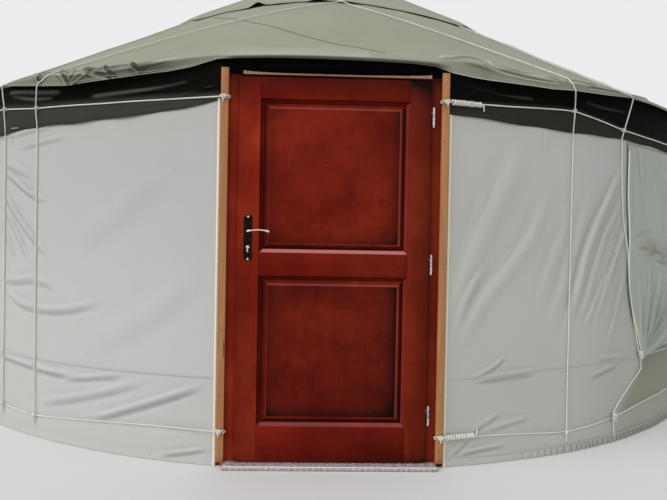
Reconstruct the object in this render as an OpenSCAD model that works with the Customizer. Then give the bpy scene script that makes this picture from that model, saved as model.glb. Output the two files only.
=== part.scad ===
// Round canvas yurt with a lattice wall, a pole roof and a framed timber door.
// Millimetres, +Z up. The origin is the centre of the floor circle at ground level, the door faces -Y.
// An azimuth is counted in degrees from the door, positive towards +X.

/* [Wall] */
// Outside radius of the canvas wall
wall_r = 3000; // [2700:50:3300]
// Thickness of the canvas with its lining
canvas_t = 4; // [3:0.5:6]
// Azimuth of the wall's seam left of the door
seam_left_az = 36; // [30:1:42]
// Azimuth of the wall's seam right of the door
seam_right_az = 30; // [26:1:40]
// Azimuth where the overlapping end of the right wall starts
flap_az = 32; // [28:1:40]
// Angle that the overlapping end covers
flap_span = 28; // [15:1:40]
// Height of the overlapping end's lower edge
flap_z = 420; // [300:10:600]

/* [Roof] */
// Reach of the eave over the wall
eave_out = 50; // [30:5:100]
// Height of the eave over the underside of the lintel
eave_up = 40; // [40:1:60]
// Pitch of the roof in degrees
pitch = 31; // [27:0.5:34]
// Radius of the hole in the roof canvas at the crown
roof_hole_r = 600; // [580:5:630]
// Distance from the cap's middle to its hem
cap_apothem = 1580; // [1400:10:1700]
// Height of the cap over the roof canvas, with room for the ropes
cap_lift = 24; // [24:1:35]
// Radius inside which the cap is domed
cap_dome_r = 500; // [400:10:700]
// Turn of the six-sided cap
cap_turn = -1.5; // [-10:0.5:10]
// Radius of the round piece at the cap's top
button_r = 60; // [40:5:100]

/* [Skirt] */
// Height of the skirt from the eave down
skirt_drop = 221; // [200:1:260]
// Distance between the skirt and the wall at the rope
skirt_off = 1; // [0.6:0.2:4]
// Flare of the skirt's lower edge
skirt_flare = 4; // [0:1:10]

/* [Crown] */
// Outside radius of the crown ring
ring_r = 640; // [635:5:700]
// Width of the crown ring
ring_w = 70; // [50:5:90]
// Height of the crown ring
ring_h = 80; // [60:5:100]
// Rise of the arched spokes over the ring
spoke_rise = 170; // [140:5:180]
// Thickness of a spoke
spoke_t = 30; // [20:2:40]
// Distance of the spokes' feet under the top of the ring
spoke_drop = 20; // [10:2:30]
// Number of spokes
spokes = 8; // [6:2:12]
// Radius of the hub where the spokes meet
hub_r = 75; // [60:5:100]
// Height of the hub
hub_h = 50; // [40:5:60]

/* [Poles] */
// Number of roof poles and of lattice heads round the whole circle
poles = 42; // [36:2:48]
// Diameter of a roof pole
pole_d = 36; // [28:1:40]
// Diameter of the tenon at a pole's upper end
tenon_d = 20; // [14:1:24]
// Length of the tenon in the crown ring
tenon_l = 30; // [20:1:40]

/* [Lattice] */
// Width of a slat
slat_w = 30; // [22:1:36]
// Thickness of a slat
slat_t = 10; // [8:1:14]
// Rows of crossings between the lowest and the highest one
rows = 8; // [6:2:10]
// Height of the lowest crossing
lattice_foot = 22; // [18:1:40]
// Length that a slat reaches over its highest crossing, measured upwards
slat_head = 33; // [24:1:40]
// Depth that the two layers of slats are let into each other
slat_bite = 0.5; // [0.3:0.1:1]

/* [Door frame] */
// Width of a jamb
jamb_w = 92.5; // [80:0.5:130]
// Depth of the frame
frame_d = 90; // [70:5:120]
// Gap between the leaf and the lintel
lintel_gap = 11; // [10:1:20]
// Width of the strip nailed on each jamb
batten_w = 34; // [30:1:50]
// Thickness of that strip
batten_t = 20; // [16:1:25]
// Height of the strips' lower ends
batten_z = 20; // [5:1:25]
// Reach of the strips over the underside of the lintel
batten_over = 28; // [20:1:28]
// Length of the lath over the door
lath_w = 860; // [700:10:900]
// Height of the lath over the door
lath_h = 20; // [12:1:20]
// Thickness of the lath over the door
lath_t = 8; // [5:1:12]
// Distance of the lath over the underside of the lintel
lath_up = 3; // [0:1:6]
// Height of the sill timber
sill_h = 17; // [12:1:19]
// Thickness of the threshold plate
plate_t = 3; // [2:0.5:4]
// Distance that the threshold stands in front of the frame
nose = 63; // [24:1:80]
// Distance between the threshold plate and the frame's inner face
plate_back = 20; // [0:5:40]

/* [Door leaf] */
// Width of the leaf
leaf_w = 875; // [820:5:900]
// Height of the leaf
leaf_h = 1750; // [1700:5:1755]
// Height of the leaf's lower edge
leaf_z = 25; // [25:1:30]
// Thickness of the front lip that covers the jambs
lip_t = 16; // [14:1:20]
// Width of the lip on each side
lip_w = 16; // [15:1:20]
// Thickness of the leaf behind the lip
body_t = 28; // [24:1:34]
// Width of each stile
stile_w = 99; // [95:1:130]
// Height of the top rail
top_rail = 98; // [80:1:130]
// Height of the middle rail
mid_rail = 106; // [100:1:160]
// Height of the bottom rail
low_rail = 163; // [120:1:220]
// Height of the lower panel's opening
low_panel = 687; // [500:1:750]
// Thickness of the panels' flat rim
panel_rim = 10; // [8:1:12]
// Thickness of the panels' raised middle
panel_field = 26; // [20:1:30]
// Width of the flat rim that shows around a panel
panel_edge = 10; // [4:1:12]
// Width of the sloping border of a panel
panel_bevel = 22; // [15:1:60]
// Depth of the groove that holds a panel
groove = 10; // [8:1:14]
// Depth of the panels' rim behind the leaf's front
panel_set = 17; // [14:1:20]
// Clearance between the leaf and the frame
leaf_gap = 5; // [5:0.5:7]
// Further clearance beside the leaf, for the swing of its edge
side_play = 1; // [1:0.5:3]

/* [Hinges] */
// Diameter of a hinge barrel
barrel_d = 16; // [14:1:17]
// Length of a hinge barrel
barrel_h = 95; // [80:1:110]
// Diameter of a hinge pin
pin_d = 7; // [5:0.5:8]
// Running clearance round a hinge pin
pin_fit = 0.05; // [0.04:0.01:0.1]
// Diameter of the studs that fix a hinge
stud_d = 7; // [5:0.5:8]
// Distance from the barrel's axis to the leaf's edge
hinge_out = 9; // [9:0.5:12]
// Distance from the barrel's axis to the leaf's front
hinge_in = 5; // [3:0.5:8]
// Distance from the top of the leaf to the middle of the upper hinge
hinge_drop = 166; // [120:1:200]
// Distance from the bottom of the leaf to the middle of the lower hinge
hinge_foot = 217; // [150:1:260]
// Distance of the middle hinge over the middle between the other two
hinge_mid_up = 10; // [0:1:40]

/* [Lock] */
// Height of the lever over the leaf's lower edge
lever_up = 1050; // [1000:5:1100]
// Distance from the leaf's edge to the lever's axis
backset = 49.5; // [46:0.5:60]
// Length of the lever
lever_l = 107; // [90:1:130]
// Diameter of the lever
lever_d = 14; // [12:1:19]
// Bevel at the lever's ends
lever_bevel = 3; // [1:0.5:4]
// Distance from the leaf to the lever's middle
lever_off = 44; // [38:1:55]
// Width of a lock plate
plate_w = 39; // [32:1:42]
// Reach of a lock plate over the lever's axis
plate_up = 77; // [60:1:100]
// Reach of a lock plate under the lever's axis
plate_down = 133; // [120:1:160]
// Thickness of a lock plate
plate_d = 4; // [3:0.5:6]
// Distance from the lever's axis to the lock cylinder
cylinder_down = 72; // [70:1:90]
// Diameter of the lock cylinder
cylinder_d = 18; // [17:1:22]
// Distance that the lock cylinder stands out of its plates
cylinder_out = 3; // [1:0.5:6]
// Diameter of the spindle
spindle_d = 13; // [10:0.5:15]
// Running clearance round the spindle
spindle_fit = 0.08; // [0.05:0.01:0.1]
// Clearance round the spindle inside the leaf
spindle_room = 2; // [1:0.5:4]

/* [Ropes] */
// Diameter of the ropes
rope_d = 8; // [6:0.5:9]
// Distance of the upper girth rope under the eave
girth_drop = 133; // [121:1:156]
// Height of the lower girth rope
girth_low = 127; // [100:1:200]
// Azimuth of the crossing roof rope at the eave, left of the door
rope_left_az = 28; // [22:0.5:32]
// Azimuth of this rope on the wall
rope_left_wall_az = 30.5; // [22:0.5:34]
// Angle that this rope runs over the roof
rope_left_span = 155; // [140:1:165]
// Azimuth of the crossing roof rope at the eave, right of the door
rope_right_az = 22; // [20:0.5:27]
// Azimuth of this rope on the wall
rope_right_wall_az = 23.4; // [20:0.2:28]
// Angle that this rope runs over the roof
rope_right_span = 168; // [140:1:170]
// Azimuths of the cap's six ropes at the eave
tie_az = [-34, 30.2, 90, 150, 210, 270];
// Azimuths of these ropes on the wall
tie_wall_az = [-36.2, 30.4, 90, 150, 210, 270];
// Length of the rope ends under the lower girth rope
rope_tail = 45; // [30:1:60]
// Length of the lashing beside the door
lashing_l = 125; // [80:5:130]
// Diameter of the lashing
lashing_d = 16; // [14:1:17]
// Distance between the lashing and the edge of the frame
lashing_out = 12; // [8:1:30]

/* [Hidden] */
$fn = 64;
round_fn = 256;
rope_fn = 20;

// Seats and hairlines, and how far a cut goes past what it cuts
seat = 0.4;
seam = 0.5;
slack = 0.8;
past = 1;

// Heights that follow from the leaf
leaf_top = leaf_z + leaf_h;
lintel_z = leaf_top + lintel_gap;
eave_z = lintel_z + eave_up;
skirt_z = eave_z - skirt_drop;
girth_up = eave_z - girth_drop;
batten_top = lintel_z + batten_over;

// Roof cone
eave_r = wall_r + eave_out;
slope = tan(pitch);
k = cos(pitch);
cloth_drop = canvas_t / k;
pole_gap = 1.5;
pole_under = (pole_d / 2 + seat) / k;
function cone_z(r) = eave_z + (eave_r - r) * slope;
function under_canvas(r) = cone_z(r) - cloth_drop - slack;
function pole_z(r) = cone_z(r) - (canvas_t + slack + pole_d / 2) / k;
wall_h = under_canvas(wall_r);
pole_end_r = wall_r - canvas_t - pole_gap - pole_d / 2 * sin(pitch);
pole_start_r = ring_r + seat + pole_d / 2 * sin(pitch);

// Lattice
lattice_r = wall_r - canvas_t - slack;
column_a = 180 / poles;
column_w = lattice_r * PI / 180 * column_a;
row_guess = (pole_z(lattice_r) - lattice_foot) / rows;
slat_angle = atan(row_guess / column_w);
slat_half_az = slat_w / 2 / sin(slat_angle) / lattice_r * 180 / PI;
pole_reach = pole_d / 2 * sqrt(pow(sin(slat_angle), 2) + pow(cos(slat_angle) / k, 2));
lattice_in = lattice_r - 2 * slat_t + slat_bite;
crook_gap = 0.8;
head_z = pole_z(lattice_in) - (pole_reach + slat_w / 2 + crook_gap) / cos(slat_angle);
row_h = (head_z - lattice_foot) / rows;
foot_u = -lattice_foot / row_h;
head_u = rows + slat_head / row_h;
stop_play = 0.05;

// Door frame
body_w = leaf_w - 2 * lip_w;
jamb_x = body_w / 2 + leaf_gap + side_play;
frame_w = 2 * (jamb_x + jamb_w);
face_y = -sqrt(pow(wall_r, 2) - pow(frame_w / 2, 2));
batten_x = frame_w / 2 - batten_w;
leaf_front = face_y - leaf_gap - lip_t;
leaf_back = leaf_front + lip_t + body_t;
jamb_az = asin((frame_w / 2 + seat) / (wall_r - canvas_t));
edge_play = 0.02;
edge_column = (jamb_az + slat_half_az) / column_a + edge_play;
door_columns = ceil(edge_column);

// Door leaf
mid_z = leaf_z + low_rail + low_panel;
upper_z = mid_z + mid_rail;
upper_h = leaf_top - top_rail - upper_z;
opening_w = leaf_w - 2 * stile_w;
rim_y = leaf_front + panel_set;
hull_sink = 0.5;

// Hinges
hinge_x = leaf_w / 2 + hinge_out;
hinge_y = leaf_front + hinge_in;
hinge_high = leaf_top - hinge_drop;
hinge_low = leaf_z + hinge_foot;
hinge_zs = [hinge_high, (hinge_high + hinge_low) / 2 + hinge_mid_up, hinge_low];
pin_h = barrel_h * 0.4;
bearing_gap = 0.3;

// Lock
lever_x = -leaf_w / 2 + backset;
lever_z = leaf_z + lever_up;
lock_z = lever_z - cylinder_down;
leaf_t = leaf_back - leaf_front;

// Skirt and ropes
rope_r = rope_d / 2;
skirt_r = wall_r + skirt_off + canvas_t;
girth_up_r = skirt_r + seat + rope_r;
girth_low_r = wall_r + seat + rope_r;
over_up_r = girth_up_r + seat + 2 * rope_r;
over_low_r = girth_low_r + seat + 2 * rope_r;
strip_front = face_y - batten_t;
tie_y = strip_front - seat - rope_r;
rope_play = 3.2;
rope_lift = rope_r + rope_play;
eave_lift = 1.6 * rope_r;
eave_back = 40;
tie_out = 60;
over_h = 12;
tail_in = 3;
rope_end = 5;
hump_az = 3;
hump_top_az = 1.2;
ring_count = 24;
girth_count = 12;

// A piece of a revolved section from azimuth a to azimuth b
module turned(a, b) rotate([0, 0, a - 90]) rotate_extrude(angle = b - a, $fn = round_fn) children();

// Cloth widths between the azimuths of a list, a hairline apart
module widths(cuts, r) {
    hairline = seam / r * 180 / PI;
    for (i = [0 : len(cuts) - 2]) turned(cuts[i] + hairline / 2, cuts[i + 1] - hairline / 2) children();
}

function even_cuts(a, b, n) = [for (i = [0 : n]) a + (b - a) * i / n];

// Canvas wall
module wall_section() translate([wall_r - canvas_t, 0]) square([canvas_t, wall_h]);
module wall(a, b, n) color("gainsboro") widths(even_cuts(a, b, n), wall_r) wall_section();
side_az = 92;
flap_gap = 6;
module wall_front_left() wall(-seam_left_az, -jamb_az, 1);
module wall_front_right() wall(jamb_az, seam_right_az, 1);
module wall_side_left() wall(-side_az, -seam_left_az, 2);
module wall_side_right() wall(seam_right_az, side_az, 2);
module wall_back_left() wall(-180, -side_az, 3);
module wall_back_right() wall(side_az, 180, 3);
module wall_flap() color("darkgray")
    turned(flap_az, flap_az + flap_span)
        translate([wall_r + seat, flap_z]) square([canvas_t, skirt_z - flap_gap - flap_z]);

// Skirt that hangs from the eave, held in by the upper girth rope
module skirt_section() {
    top_z = eave_z - cloth_drop - seat;
    outer = [[eave_r, top_z], [skirt_r, girth_up + rope_d], [skirt_r, girth_up - rope_d],
        [skirt_r + skirt_flare, skirt_z]];
    inner = [for (i = [len(outer) - 1 : -1 : 0]) outer[i] - [canvas_t, 0]];
    polygon(concat(outer, inner));
}
skirt_count = 6;
module skirt_left() color("dimgray") widths(even_cuts(-180, -jamb_az, skirt_count), wall_r) skirt_section();
module skirt_right() color("dimgray") widths(even_cuts(jamb_az, 180, skirt_count), wall_r) skirt_section();

// Roof canvas
module roof_section()
    polygon([[eave_r, eave_z], [roof_hole_r, cone_z(roof_hole_r)],
        [roof_hole_r, cone_z(roof_hole_r) - cloth_drop], [eave_r, eave_z - cloth_drop]]);
roof_count = 6;
module roof_left() color("silver") widths(even_cuts(-180, 0, roof_count), wall_r) roof_section();
module roof_right() color("silver") widths(even_cuts(0, 180, roof_count), wall_r) roof_section();

// Crown cap: twelve sewn pieces and the round piece at the top
cap_corner = cap_apothem / cos(30);
cap_up = cap_lift / k;
dome_ball = cap_dome_r / sin(pitch);
dome_mid = cone_z(cap_dome_r) + cap_up - dome_ball * k;
dome_steps = 6;
function dome_z(r) = dome_mid + sqrt(pow(dome_ball, 2) - pow(r, 2));
module cap_section(from, to) {
    dome = [for (i = [0 : dome_steps]) from + (min(cap_dome_r, to) - from) * i / dome_steps];
    outer = concat([for (r = dome) [r, dome_z(r)]], to > cap_dome_r ? [[to, cone_z(to) + cap_up]] : []);
    inner = concat(to > cap_dome_r ? [[to, cone_z(to) + cap_up - cloth_drop]] : [],
        [for (i = [dome_steps : -1 : 0]) [dome[i], dome_z(dome[i]) - cloth_drop]]);
    polygon(concat(outer, inner));
}
module crown_cap() color("lightgray") rotate([0, 0, cap_turn]) {
    for (side = [0 : 5], half = [-1, 0]) rotate([0, 0, 60 * side])
        difference() {
            widths([30 * half, 30 * half + 30], cap_apothem)
                cap_section(button_r + seat, cap_corner + canvas_t);
            translate([-cap_corner, -2 * cap_apothem, 0])
                cube([2 * cap_corner, cap_apothem, 2 * cone_z(0)]);
        }
    rotate_extrude() cap_section(0, button_r);
}

// Crown ring with its arched spokes
ring_top = under_canvas(ring_r);
module crown_ring() color("peru") difference() {
    rotate_extrude($fn = round_fn) translate([ring_r - ring_w, ring_top - ring_h]) square([ring_w, ring_h]);
    for (i = [0 : poles - 1]) along_pole(i, ring_r - (tenon_l + past) * k)
        cylinder(d = tenon_d + 2 * seat, h = 2 * tenon_l);
}

spoke_foot = ring_r - ring_w;
spoke_z = ring_top - spoke_t - spoke_drop;
arch_r = (pow(spoke_foot, 2) + pow(spoke_rise, 2)) / (2 * spoke_rise);
arch_start = asin((hub_r + seat) / arch_r);
arch_end = asin(sqrt(pow(spoke_foot - seat, 2) - pow(spoke_t / 2, 2)) / (arch_r + spoke_t));
module crown_spokes() color("burlywood") {
    arch_z = spoke_z + spoke_rise - arch_r;
    for (i = [0 : spokes - 1]) rotate([0, 0, (i + 0.5) * 360 / spokes]) translate([0, spoke_t / 2, arch_z])
        rotate([90, 0, 0]) rotate([0, 0, 90 - arch_end]) rotate_extrude(angle = arch_end - arch_start)
            translate([arch_r, 0]) square([spoke_t, spoke_t]);
    translate([0, 0, arch_z + arch_r - (hub_h - spoke_t) / 2]) cylinder(r = hub_r, h = hub_h);
}

// Roof poles from the crown ring to the heads of the lattice and to the lintel
module along_pole(i, r) rotate([0, 0, i * 360 / poles - 90])
    translate([r, 0, pole_z(r)]) rotate([0, 90 + pitch, 0]) children();
module pole_row(from, to) color("burlywood") for (i = [from : to]) {
    along_pole(i, pole_start_r) cylinder(d = pole_d, h = (pole_end_r - pole_start_r) / k);
    along_pole(i, ring_r - tenon_l * k)
        cylinder(d = tenon_d, h = 2 * tenon_l + (pole_start_r - ring_r) / k);
}
module roof_poles_right() pole_row(0, poles / 2 - 1);
module roof_poles_left() pole_row(poles / 2, poles - 1);

// One stretch of a slat between the heights u and v, counted in rows of crossings
function slat_corner(column, u, side, r) =
    let (a = column * column_a + side * slat_half_az)
    [r * sin(a), -r * cos(a), lattice_foot + u * row_h];
module slat_stretch(start, dir, u, v, r) hull() polyhedron(
    points = [for (w = [u, v], side = [-1, 1], rr = [r - slat_t, r])
        slat_corner(start + dir * w, w, side, rr)],
    faces = [[0, 1, 3, 2], [4, 6, 7, 5], [0, 4, 5, 1], [2, 3, 7, 6], [0, 2, 6, 4], [1, 5, 7, 3]]);

// A slat, from one crossing to the next, as far as it lies between the columns a and b
module slat(start, dir, a, b, r) {
    low = max(foot_u, dir > 0 ? a - start : start - b);
    high = min(head_u, dir > 0 ? b - start : start - a);
    halves = [for (j = [ceil(low - 0.5 + stop_play) : floor(high - 0.5 - stop_play)]) j + 0.5];
    stops = concat([low], halves, [high]);
    if (high > low + stop_play)
        for (i = [0 : len(stops) - 2]) slat_stretch(start, dir, stops[i], stops[i + 1], r);
}
module lattice(a, b) color("tan") {
    first = 2 * floor((a - rows - 2) / 2);
    for (s = [first : 2 : b + 2]) slat(s, 1, a, b, lattice_r);
    for (s = [first + rows : 2 : b + rows + 2]) slat(s, -1, a, b, lattice_r - slat_t + slat_bite);
}
section_count = 8;
function section_edge(i) = i == 0 ? edge_column : i == section_count ? 2 * poles - edge_column
    : floor(door_columns + i * (2 * poles - 2 * door_columns) / section_count) + 0.5;
module section(i) lattice(section_edge(i), section_edge(i + 1));
module lattice_front_right() section(0);
module lattice_side_right() section(1);
module lattice_rear_right() section(2);
module lattice_back_right() section(3);
module lattice_back_left() section(4);
module lattice_rear_left() section(5);
module lattice_side_left() section(6);
module lattice_front_left() section(7);

// Door frame
module both_sides() for (s = [0, 1]) mirror([s, 0, 0]) children();
module jambs() color("sienna")
    both_sides() translate([jamb_x, face_y, 0]) cube([jamb_w, frame_d, lintel_z]);
module lintel() color("sienna") difference() {
    translate([-frame_w / 2, face_y, lintel_z]) cube([frame_w, frame_d, cone_z(0) - lintel_z]);
    rotate_extrude($fn = round_fn) polygon([[0, pole_z(0) - pole_under],
        [eave_r, pole_z(eave_r) - pole_under], [eave_r, 2 * cone_z(0)], [0, 2 * cone_z(0)]]);
}
module sill() color("saddlebrown") {
    translate([-jamb_x + seat, face_y, 0]) cube([2 * jamb_x - 2 * seat, frame_d, sill_h]);
    translate([-batten_x + seat, face_y - nose + plate_t, 0])
        cube([2 * batten_x - 2 * seat, nose - plate_t, sill_h]);
}
module threshold_plate() color("lightsteelblue") {
    translate([-batten_x + seat, face_y - nose, 0])
        cube([2 * batten_x - 2 * seat, plate_t, sill_h + plate_t]);
    translate([-batten_x + seat, face_y - nose, sill_h])
        cube([2 * batten_x - 2 * seat, nose, plate_t]);
    translate([-jamb_x + seat, face_y, sill_h])
        cube([2 * jamb_x - 2 * seat, frame_d - plate_back, plate_t]);
}
module jamb_strips() color("burlywood")
    both_sides() translate([batten_x, face_y - batten_t, batten_z])
        cube([batten_w, batten_t, batten_top - batten_z]);
module head_lath() color("wheat")
    translate([-lath_w / 2, face_y - lath_t, lintel_z + lath_up]) cube([lath_w, lath_t, lath_h]);
module head_flap() color("black")
    translate([0, 0, eave_z - cloth_drop - seat - canvas_t]) linear_extrude(canvas_t) intersection() {
        circle(r = eave_r, $fn = round_fn);
        translate([-frame_w / 2, -eave_r]) square([frame_w, eave_r + face_y - seat]);
    }

// Hinges: the frame's halves carry the pins, the leaf's halves turn on them
module hinge_frame_halves() color("rosybrown") for (z = hinge_zs) translate([hinge_x, hinge_y, z]) {
    translate([0, 0, -barrel_h / 2]) cylinder(d = barrel_d, h = barrel_h / 2 - bearing_gap / 2);
    translate([0, 0, -barrel_h / 4]) cylinder(d = pin_d, h = barrel_h / 4 + pin_h);
    translate([barrel_d / 2 - stud_d / 2, 0, -barrel_h / 4]) rotate([-90, 0, 0])
        cylinder(d = stud_d, h = face_y - hinge_y);
}
module hinge_leaf_halves() color("rosybrown") for (z = hinge_zs) translate([hinge_x, hinge_y, z])
    difference() {
        union() {
            translate([0, 0, bearing_gap / 2]) cylinder(d = barrel_d, h = barrel_h / 2 - bearing_gap / 2);
            translate([-hinge_out, 0, barrel_h / 4]) rotate([0, 90, 0]) cylinder(d = stud_d, h = hinge_out);
        }
        translate([0, 0, -past]) cylinder(d = pin_d + 2 * pin_fit, h = pin_h + 2 * past);
    }

// Door leaf
module lip_and_body(x, z, w, h, left, right, low, high) {
    translate([x, leaf_front, z]) cube([w, lip_t, h]);
    translate([x + left, leaf_front + lip_t, z + low]) cube([w - left - right, body_t, h - low - high]);
}
module panel_groove(z, h) translate([-opening_w / 2 - groove, rim_y - seat, z - groove])
    cube([opening_w + 2 * groove, panel_rim + 2 * seat, h + 2 * groove]);
module panel_grooves() {
    panel_groove(leaf_z + low_rail, low_panel);
    panel_groove(upper_z, upper_h);
}
module door_stiles() color("sienna") difference() {
    both_sides() lip_and_body(leaf_w / 2 - stile_w, leaf_z, stile_w, leaf_h, 0, lip_w, 0, lip_w);
    panel_grooves();
    lock_bores();
}
module door_rails() color("sienna") difference() {
    union() {
        lip_and_body(-opening_w / 2, leaf_z, opening_w, low_rail, 0, 0, 0, 0);
        lip_and_body(-opening_w / 2, mid_z, opening_w, mid_rail, 0, 0, 0, 0);
        lip_and_body(-opening_w / 2, leaf_top - top_rail, opening_w, top_rail, 0, 0, 0, lip_w);
    }
    panel_grooves();
}
module raised_panel(z, h) translate([0, rim_y, z + h / 2]) rotate([-90, 0, 0]) {
    w = opening_w + 2 * groove - 2 * seat;
    l = h + 2 * groove - 2 * seat;
    rise = (panel_field - panel_rim) / 2;
    translate([-w / 2, -l / 2, 0]) cube([w, l, panel_rim]);
    inset = groove + panel_edge;
    for (s = [0, 1]) translate([0, 0, s * panel_rim]) mirror([0, 0, 1 - s]) hull() {
        translate([-w / 2 + inset, -l / 2 + inset, -hull_sink])
            cube([w - 2 * inset, l - 2 * inset, hull_sink]);
        translate([-w / 2 + inset + panel_bevel, -l / 2 + inset + panel_bevel, 0])
            cube([w - 2 * inset - 2 * panel_bevel, l - 2 * inset - 2 * panel_bevel, rise]);
    }
}
module door_panels() color("brown") {
    raised_panel(leaf_z + low_rail, low_panel);
    raised_panel(upper_z, upper_h);
}

// Lock and lever
module through_leaf(d, z, reach) translate([lever_x, leaf_front - reach, z]) rotate([-90, 0, 0])
    cylinder(d = d, h = leaf_t + 2 * reach);
module lock_bores() {
    through_leaf(spindle_d + 2 * spindle_room, lever_z, past);
    through_leaf(cylinder_d + 2 * seat, lock_z, past);
}
module lock_plate_face(y) difference() {
    translate([lever_x, y + plate_d, lever_z]) rotate([90, 0, 0]) linear_extrude(plate_d) hull() {
        translate([0, plate_up - plate_w / 2]) circle(d = plate_w);
        translate([0, plate_w / 2 - plate_down]) circle(d = plate_w);
    }
    through_leaf(spindle_d + 2 * spindle_fit, lever_z, plate_d + past);
    through_leaf(cylinder_d + 2 * seat, lock_z, plate_d + past);
}
module lock_plates() color("#222222") {
    lock_plate_face(leaf_front - plate_d);
    lock_plate_face(leaf_back);
}
module lock_cylinder() color("silver") through_leaf(cylinder_d, lock_z, plate_d + cylinder_out);
module lever_arm(y) translate([lever_x - lever_d / 2, y, lever_z]) rotate([0, 90, 0]) rotate_extrude()
    polygon([[0, 0], [lever_d / 2 - lever_bevel, 0], [lever_d / 2, lever_bevel],
        [lever_d / 2, lever_l - lever_bevel], [lever_d / 2 - lever_bevel, lever_l], [0, lever_l]]);
module door_lever() color("silver") {
    lever_arm(leaf_front - lever_off);
    lever_arm(leaf_back + lever_off);
    through_leaf(spindle_d, lever_z, lever_off);
}

// A rope through points, each with the direction away from what it lies on
function unit(v) = v / norm(v);
function tangent(p, i) = unit(p[min(i + 1, len(p) - 1)] - p[max(i - 1, 0)]);
function rope_ring(p, out, i, sides) =
    let (t = tangent(p, i), u = unit(cross(t, out[i])), v = cross(u, t))
    [for (s = [0 : sides - 1]) let (a = 360 * s / sides) p[i] + rope_r * (cos(a) * u + sin(a) * v)];
module rope(p, out, sides = 8) {
    n = len(p);
    polyhedron(
        points = [for (i = [0 : n - 1]) each rope_ring(p, out, i, sides)],
        faces = concat(
            [[for (s = [0 : sides - 1]) s]],
            [for (i = [0 : n - 2], s = [0 : sides - 1]) let (e = (s + 1) % sides)
                [i * sides + s, (i + 1) * sides + s, (i + 1) * sides + e, i * sides + e]],
            [[for (s = [sides - 1 : -1 : 0]) (n - 1) * sides + s]]));
}
function polar(r, a, z) = [r * sin(a), -r * cos(a), z];
function away(a, e) = polar(cos(e), a, sin(e));

// The way over the eave at azimuth a and down the wall at azimuth b, to the end under the lower girth rope
eave_turn = [pitch + 45, 30, 5];
function eave_way(a, e) = polar(eave_r + eave_lift * cos(e), a, eave_z + eave_lift * sin(e));
function wall_way(a, b) = concat([for (e = eave_turn) eave_way(a, e)], [
    polar(over_up_r, b, girth_up + over_h),
    polar(over_up_r, b, girth_up - over_h),
    polar(over_low_r, b, girth_low + over_h),
    polar(over_low_r, b, girth_low - over_h),
    polar(over_low_r - tail_in, b, girth_low - rope_tail)]);
function wall_out(a, b) = concat([for (e = eave_turn) away(a, e)], [for (i = [1 : 5]) away(b, 0)]);
function reversed(l) = [for (i = [len(l) - 1 : -1 : 0]) l[i]];

// A rope stretched over the roof by the shortest way, and over the rope that it crosses
function least_r(span) = (eave_r - eave_back) * cos(span / 2 * k);
function way_steps(span, cross) =
    let (even = [for (i = [0 : ring_count]) i / ring_count * span])
    cross == 0 ? even : concat(
        [for (f = even) if (f < cross - hump_az) f],
        [cross - hump_az, cross - hump_top_az, cross + hump_top_az, cross + hump_az],
        [for (f = even) if (f > cross + hump_az) f]);
function roof_way(a, span, dir, cross) = [for (f = way_steps(span, cross))
    let (rise = cross > 0 && abs(f - cross) < hump_az / 2 ? rope_d + seat : 0)
    on_roof(least_r(span) / cos((f - span / 2) * k), a + dir * f, rope_lift + rise)];
function on_roof(r, a, lift) = polar(r + lift * sin(pitch), a, cone_z(r) + lift * k);
function roof_out(a, span, dir, cross) = [for (f = way_steps(span, cross)) away(a + dir * f, 90 - pitch)];
module roof_rope(a, b, span, dir, cross) color("ivory") {
    end = a + dir * span;
    rope(concat(reversed(wall_way(a, b)), roof_way(a, span, dir, cross), wall_way(end, end)),
        concat(reversed(wall_out(a, b)), roof_out(a, span, dir, cross), wall_out(end, end)));
}

// The azimuth where the two ropes cross, near the door
left_turn = (rope_left_span / 2 - rope_left_az) * k;
right_turn = (rope_right_span / 2 - rope_right_az) * k;
left_least = least_r(rope_left_span);
right_least = least_r(rope_right_span);
cross_az = atan((left_least * cos(right_turn) - right_least * cos(left_turn))
    / (left_least * sin(right_turn) + right_least * sin(left_turn))) / k;
module roof_rope_left() roof_rope(-rope_left_az, -rope_left_wall_az, rope_left_span, 1, 0);
module roof_rope_right()
    roof_rope(rope_right_az, rope_right_wall_az, rope_right_span, -1, rope_right_az - cross_az);

// Ropes from the corners of the cap down to the lower girth rope
module cap_ropes() color("ivory") for (i = [0 : len(tie_az) - 1]) {
    a = tie_az[i];
    b = tie_wall_az[i];
    top = [for (r = [cap_apothem + tie_out, eave_r - eave_back]) on_roof(r, a, rope_r + seat)];
    rope(concat(top, wall_way(a, b)), concat([for (j = [0, 1]) away(a, 90 - pitch)], wall_out(a, b)));
}

// Girth ropes, each ending in a straight stretch over the strip beside the door
function leave_az(r) =
    let (d = norm([frame_w / 2, tie_y])) acos(min(1, r / d)) + asin(frame_w / 2 / d);
function strip_edge(z) = [frame_w / 2, tie_y, z];
module from_to(p, q)
    translate(p) rotate([0, 0, atan2(q[1] - p[1], q[0] - p[0])]) rotate([0, 90, 0]) children();
module girth_rope(r, z) color("ivory") {
    a = leave_az(r);
    start = polar(r, a, z);
    edge = strip_edge(z);
    way = norm(edge - start);
    widths(even_cuts(a, 360 - a, girth_count), r) translate([r, z]) circle(d = rope_d, $fn = rope_fn);
    bend = atan2(start[1] - edge[1], start[0] - edge[0]);
    mitre = rope_r * tan(bend / 2) + seam / 2;
    both_sides() {
        from_to(start, edge) translate([0, 0, seat]) cylinder(d = rope_d, h = way - seat - mitre);
        from_to(edge, edge - [1, 0, 0]) translate([0, 0, mitre])
            cylinder(d = rope_d, h = batten_w - rope_end - mitre);
    }
}
module girth_rope_upper() girth_rope(girth_up_r, girth_up);
module girth_rope_lower() girth_rope(girth_low_r, girth_low);

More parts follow.
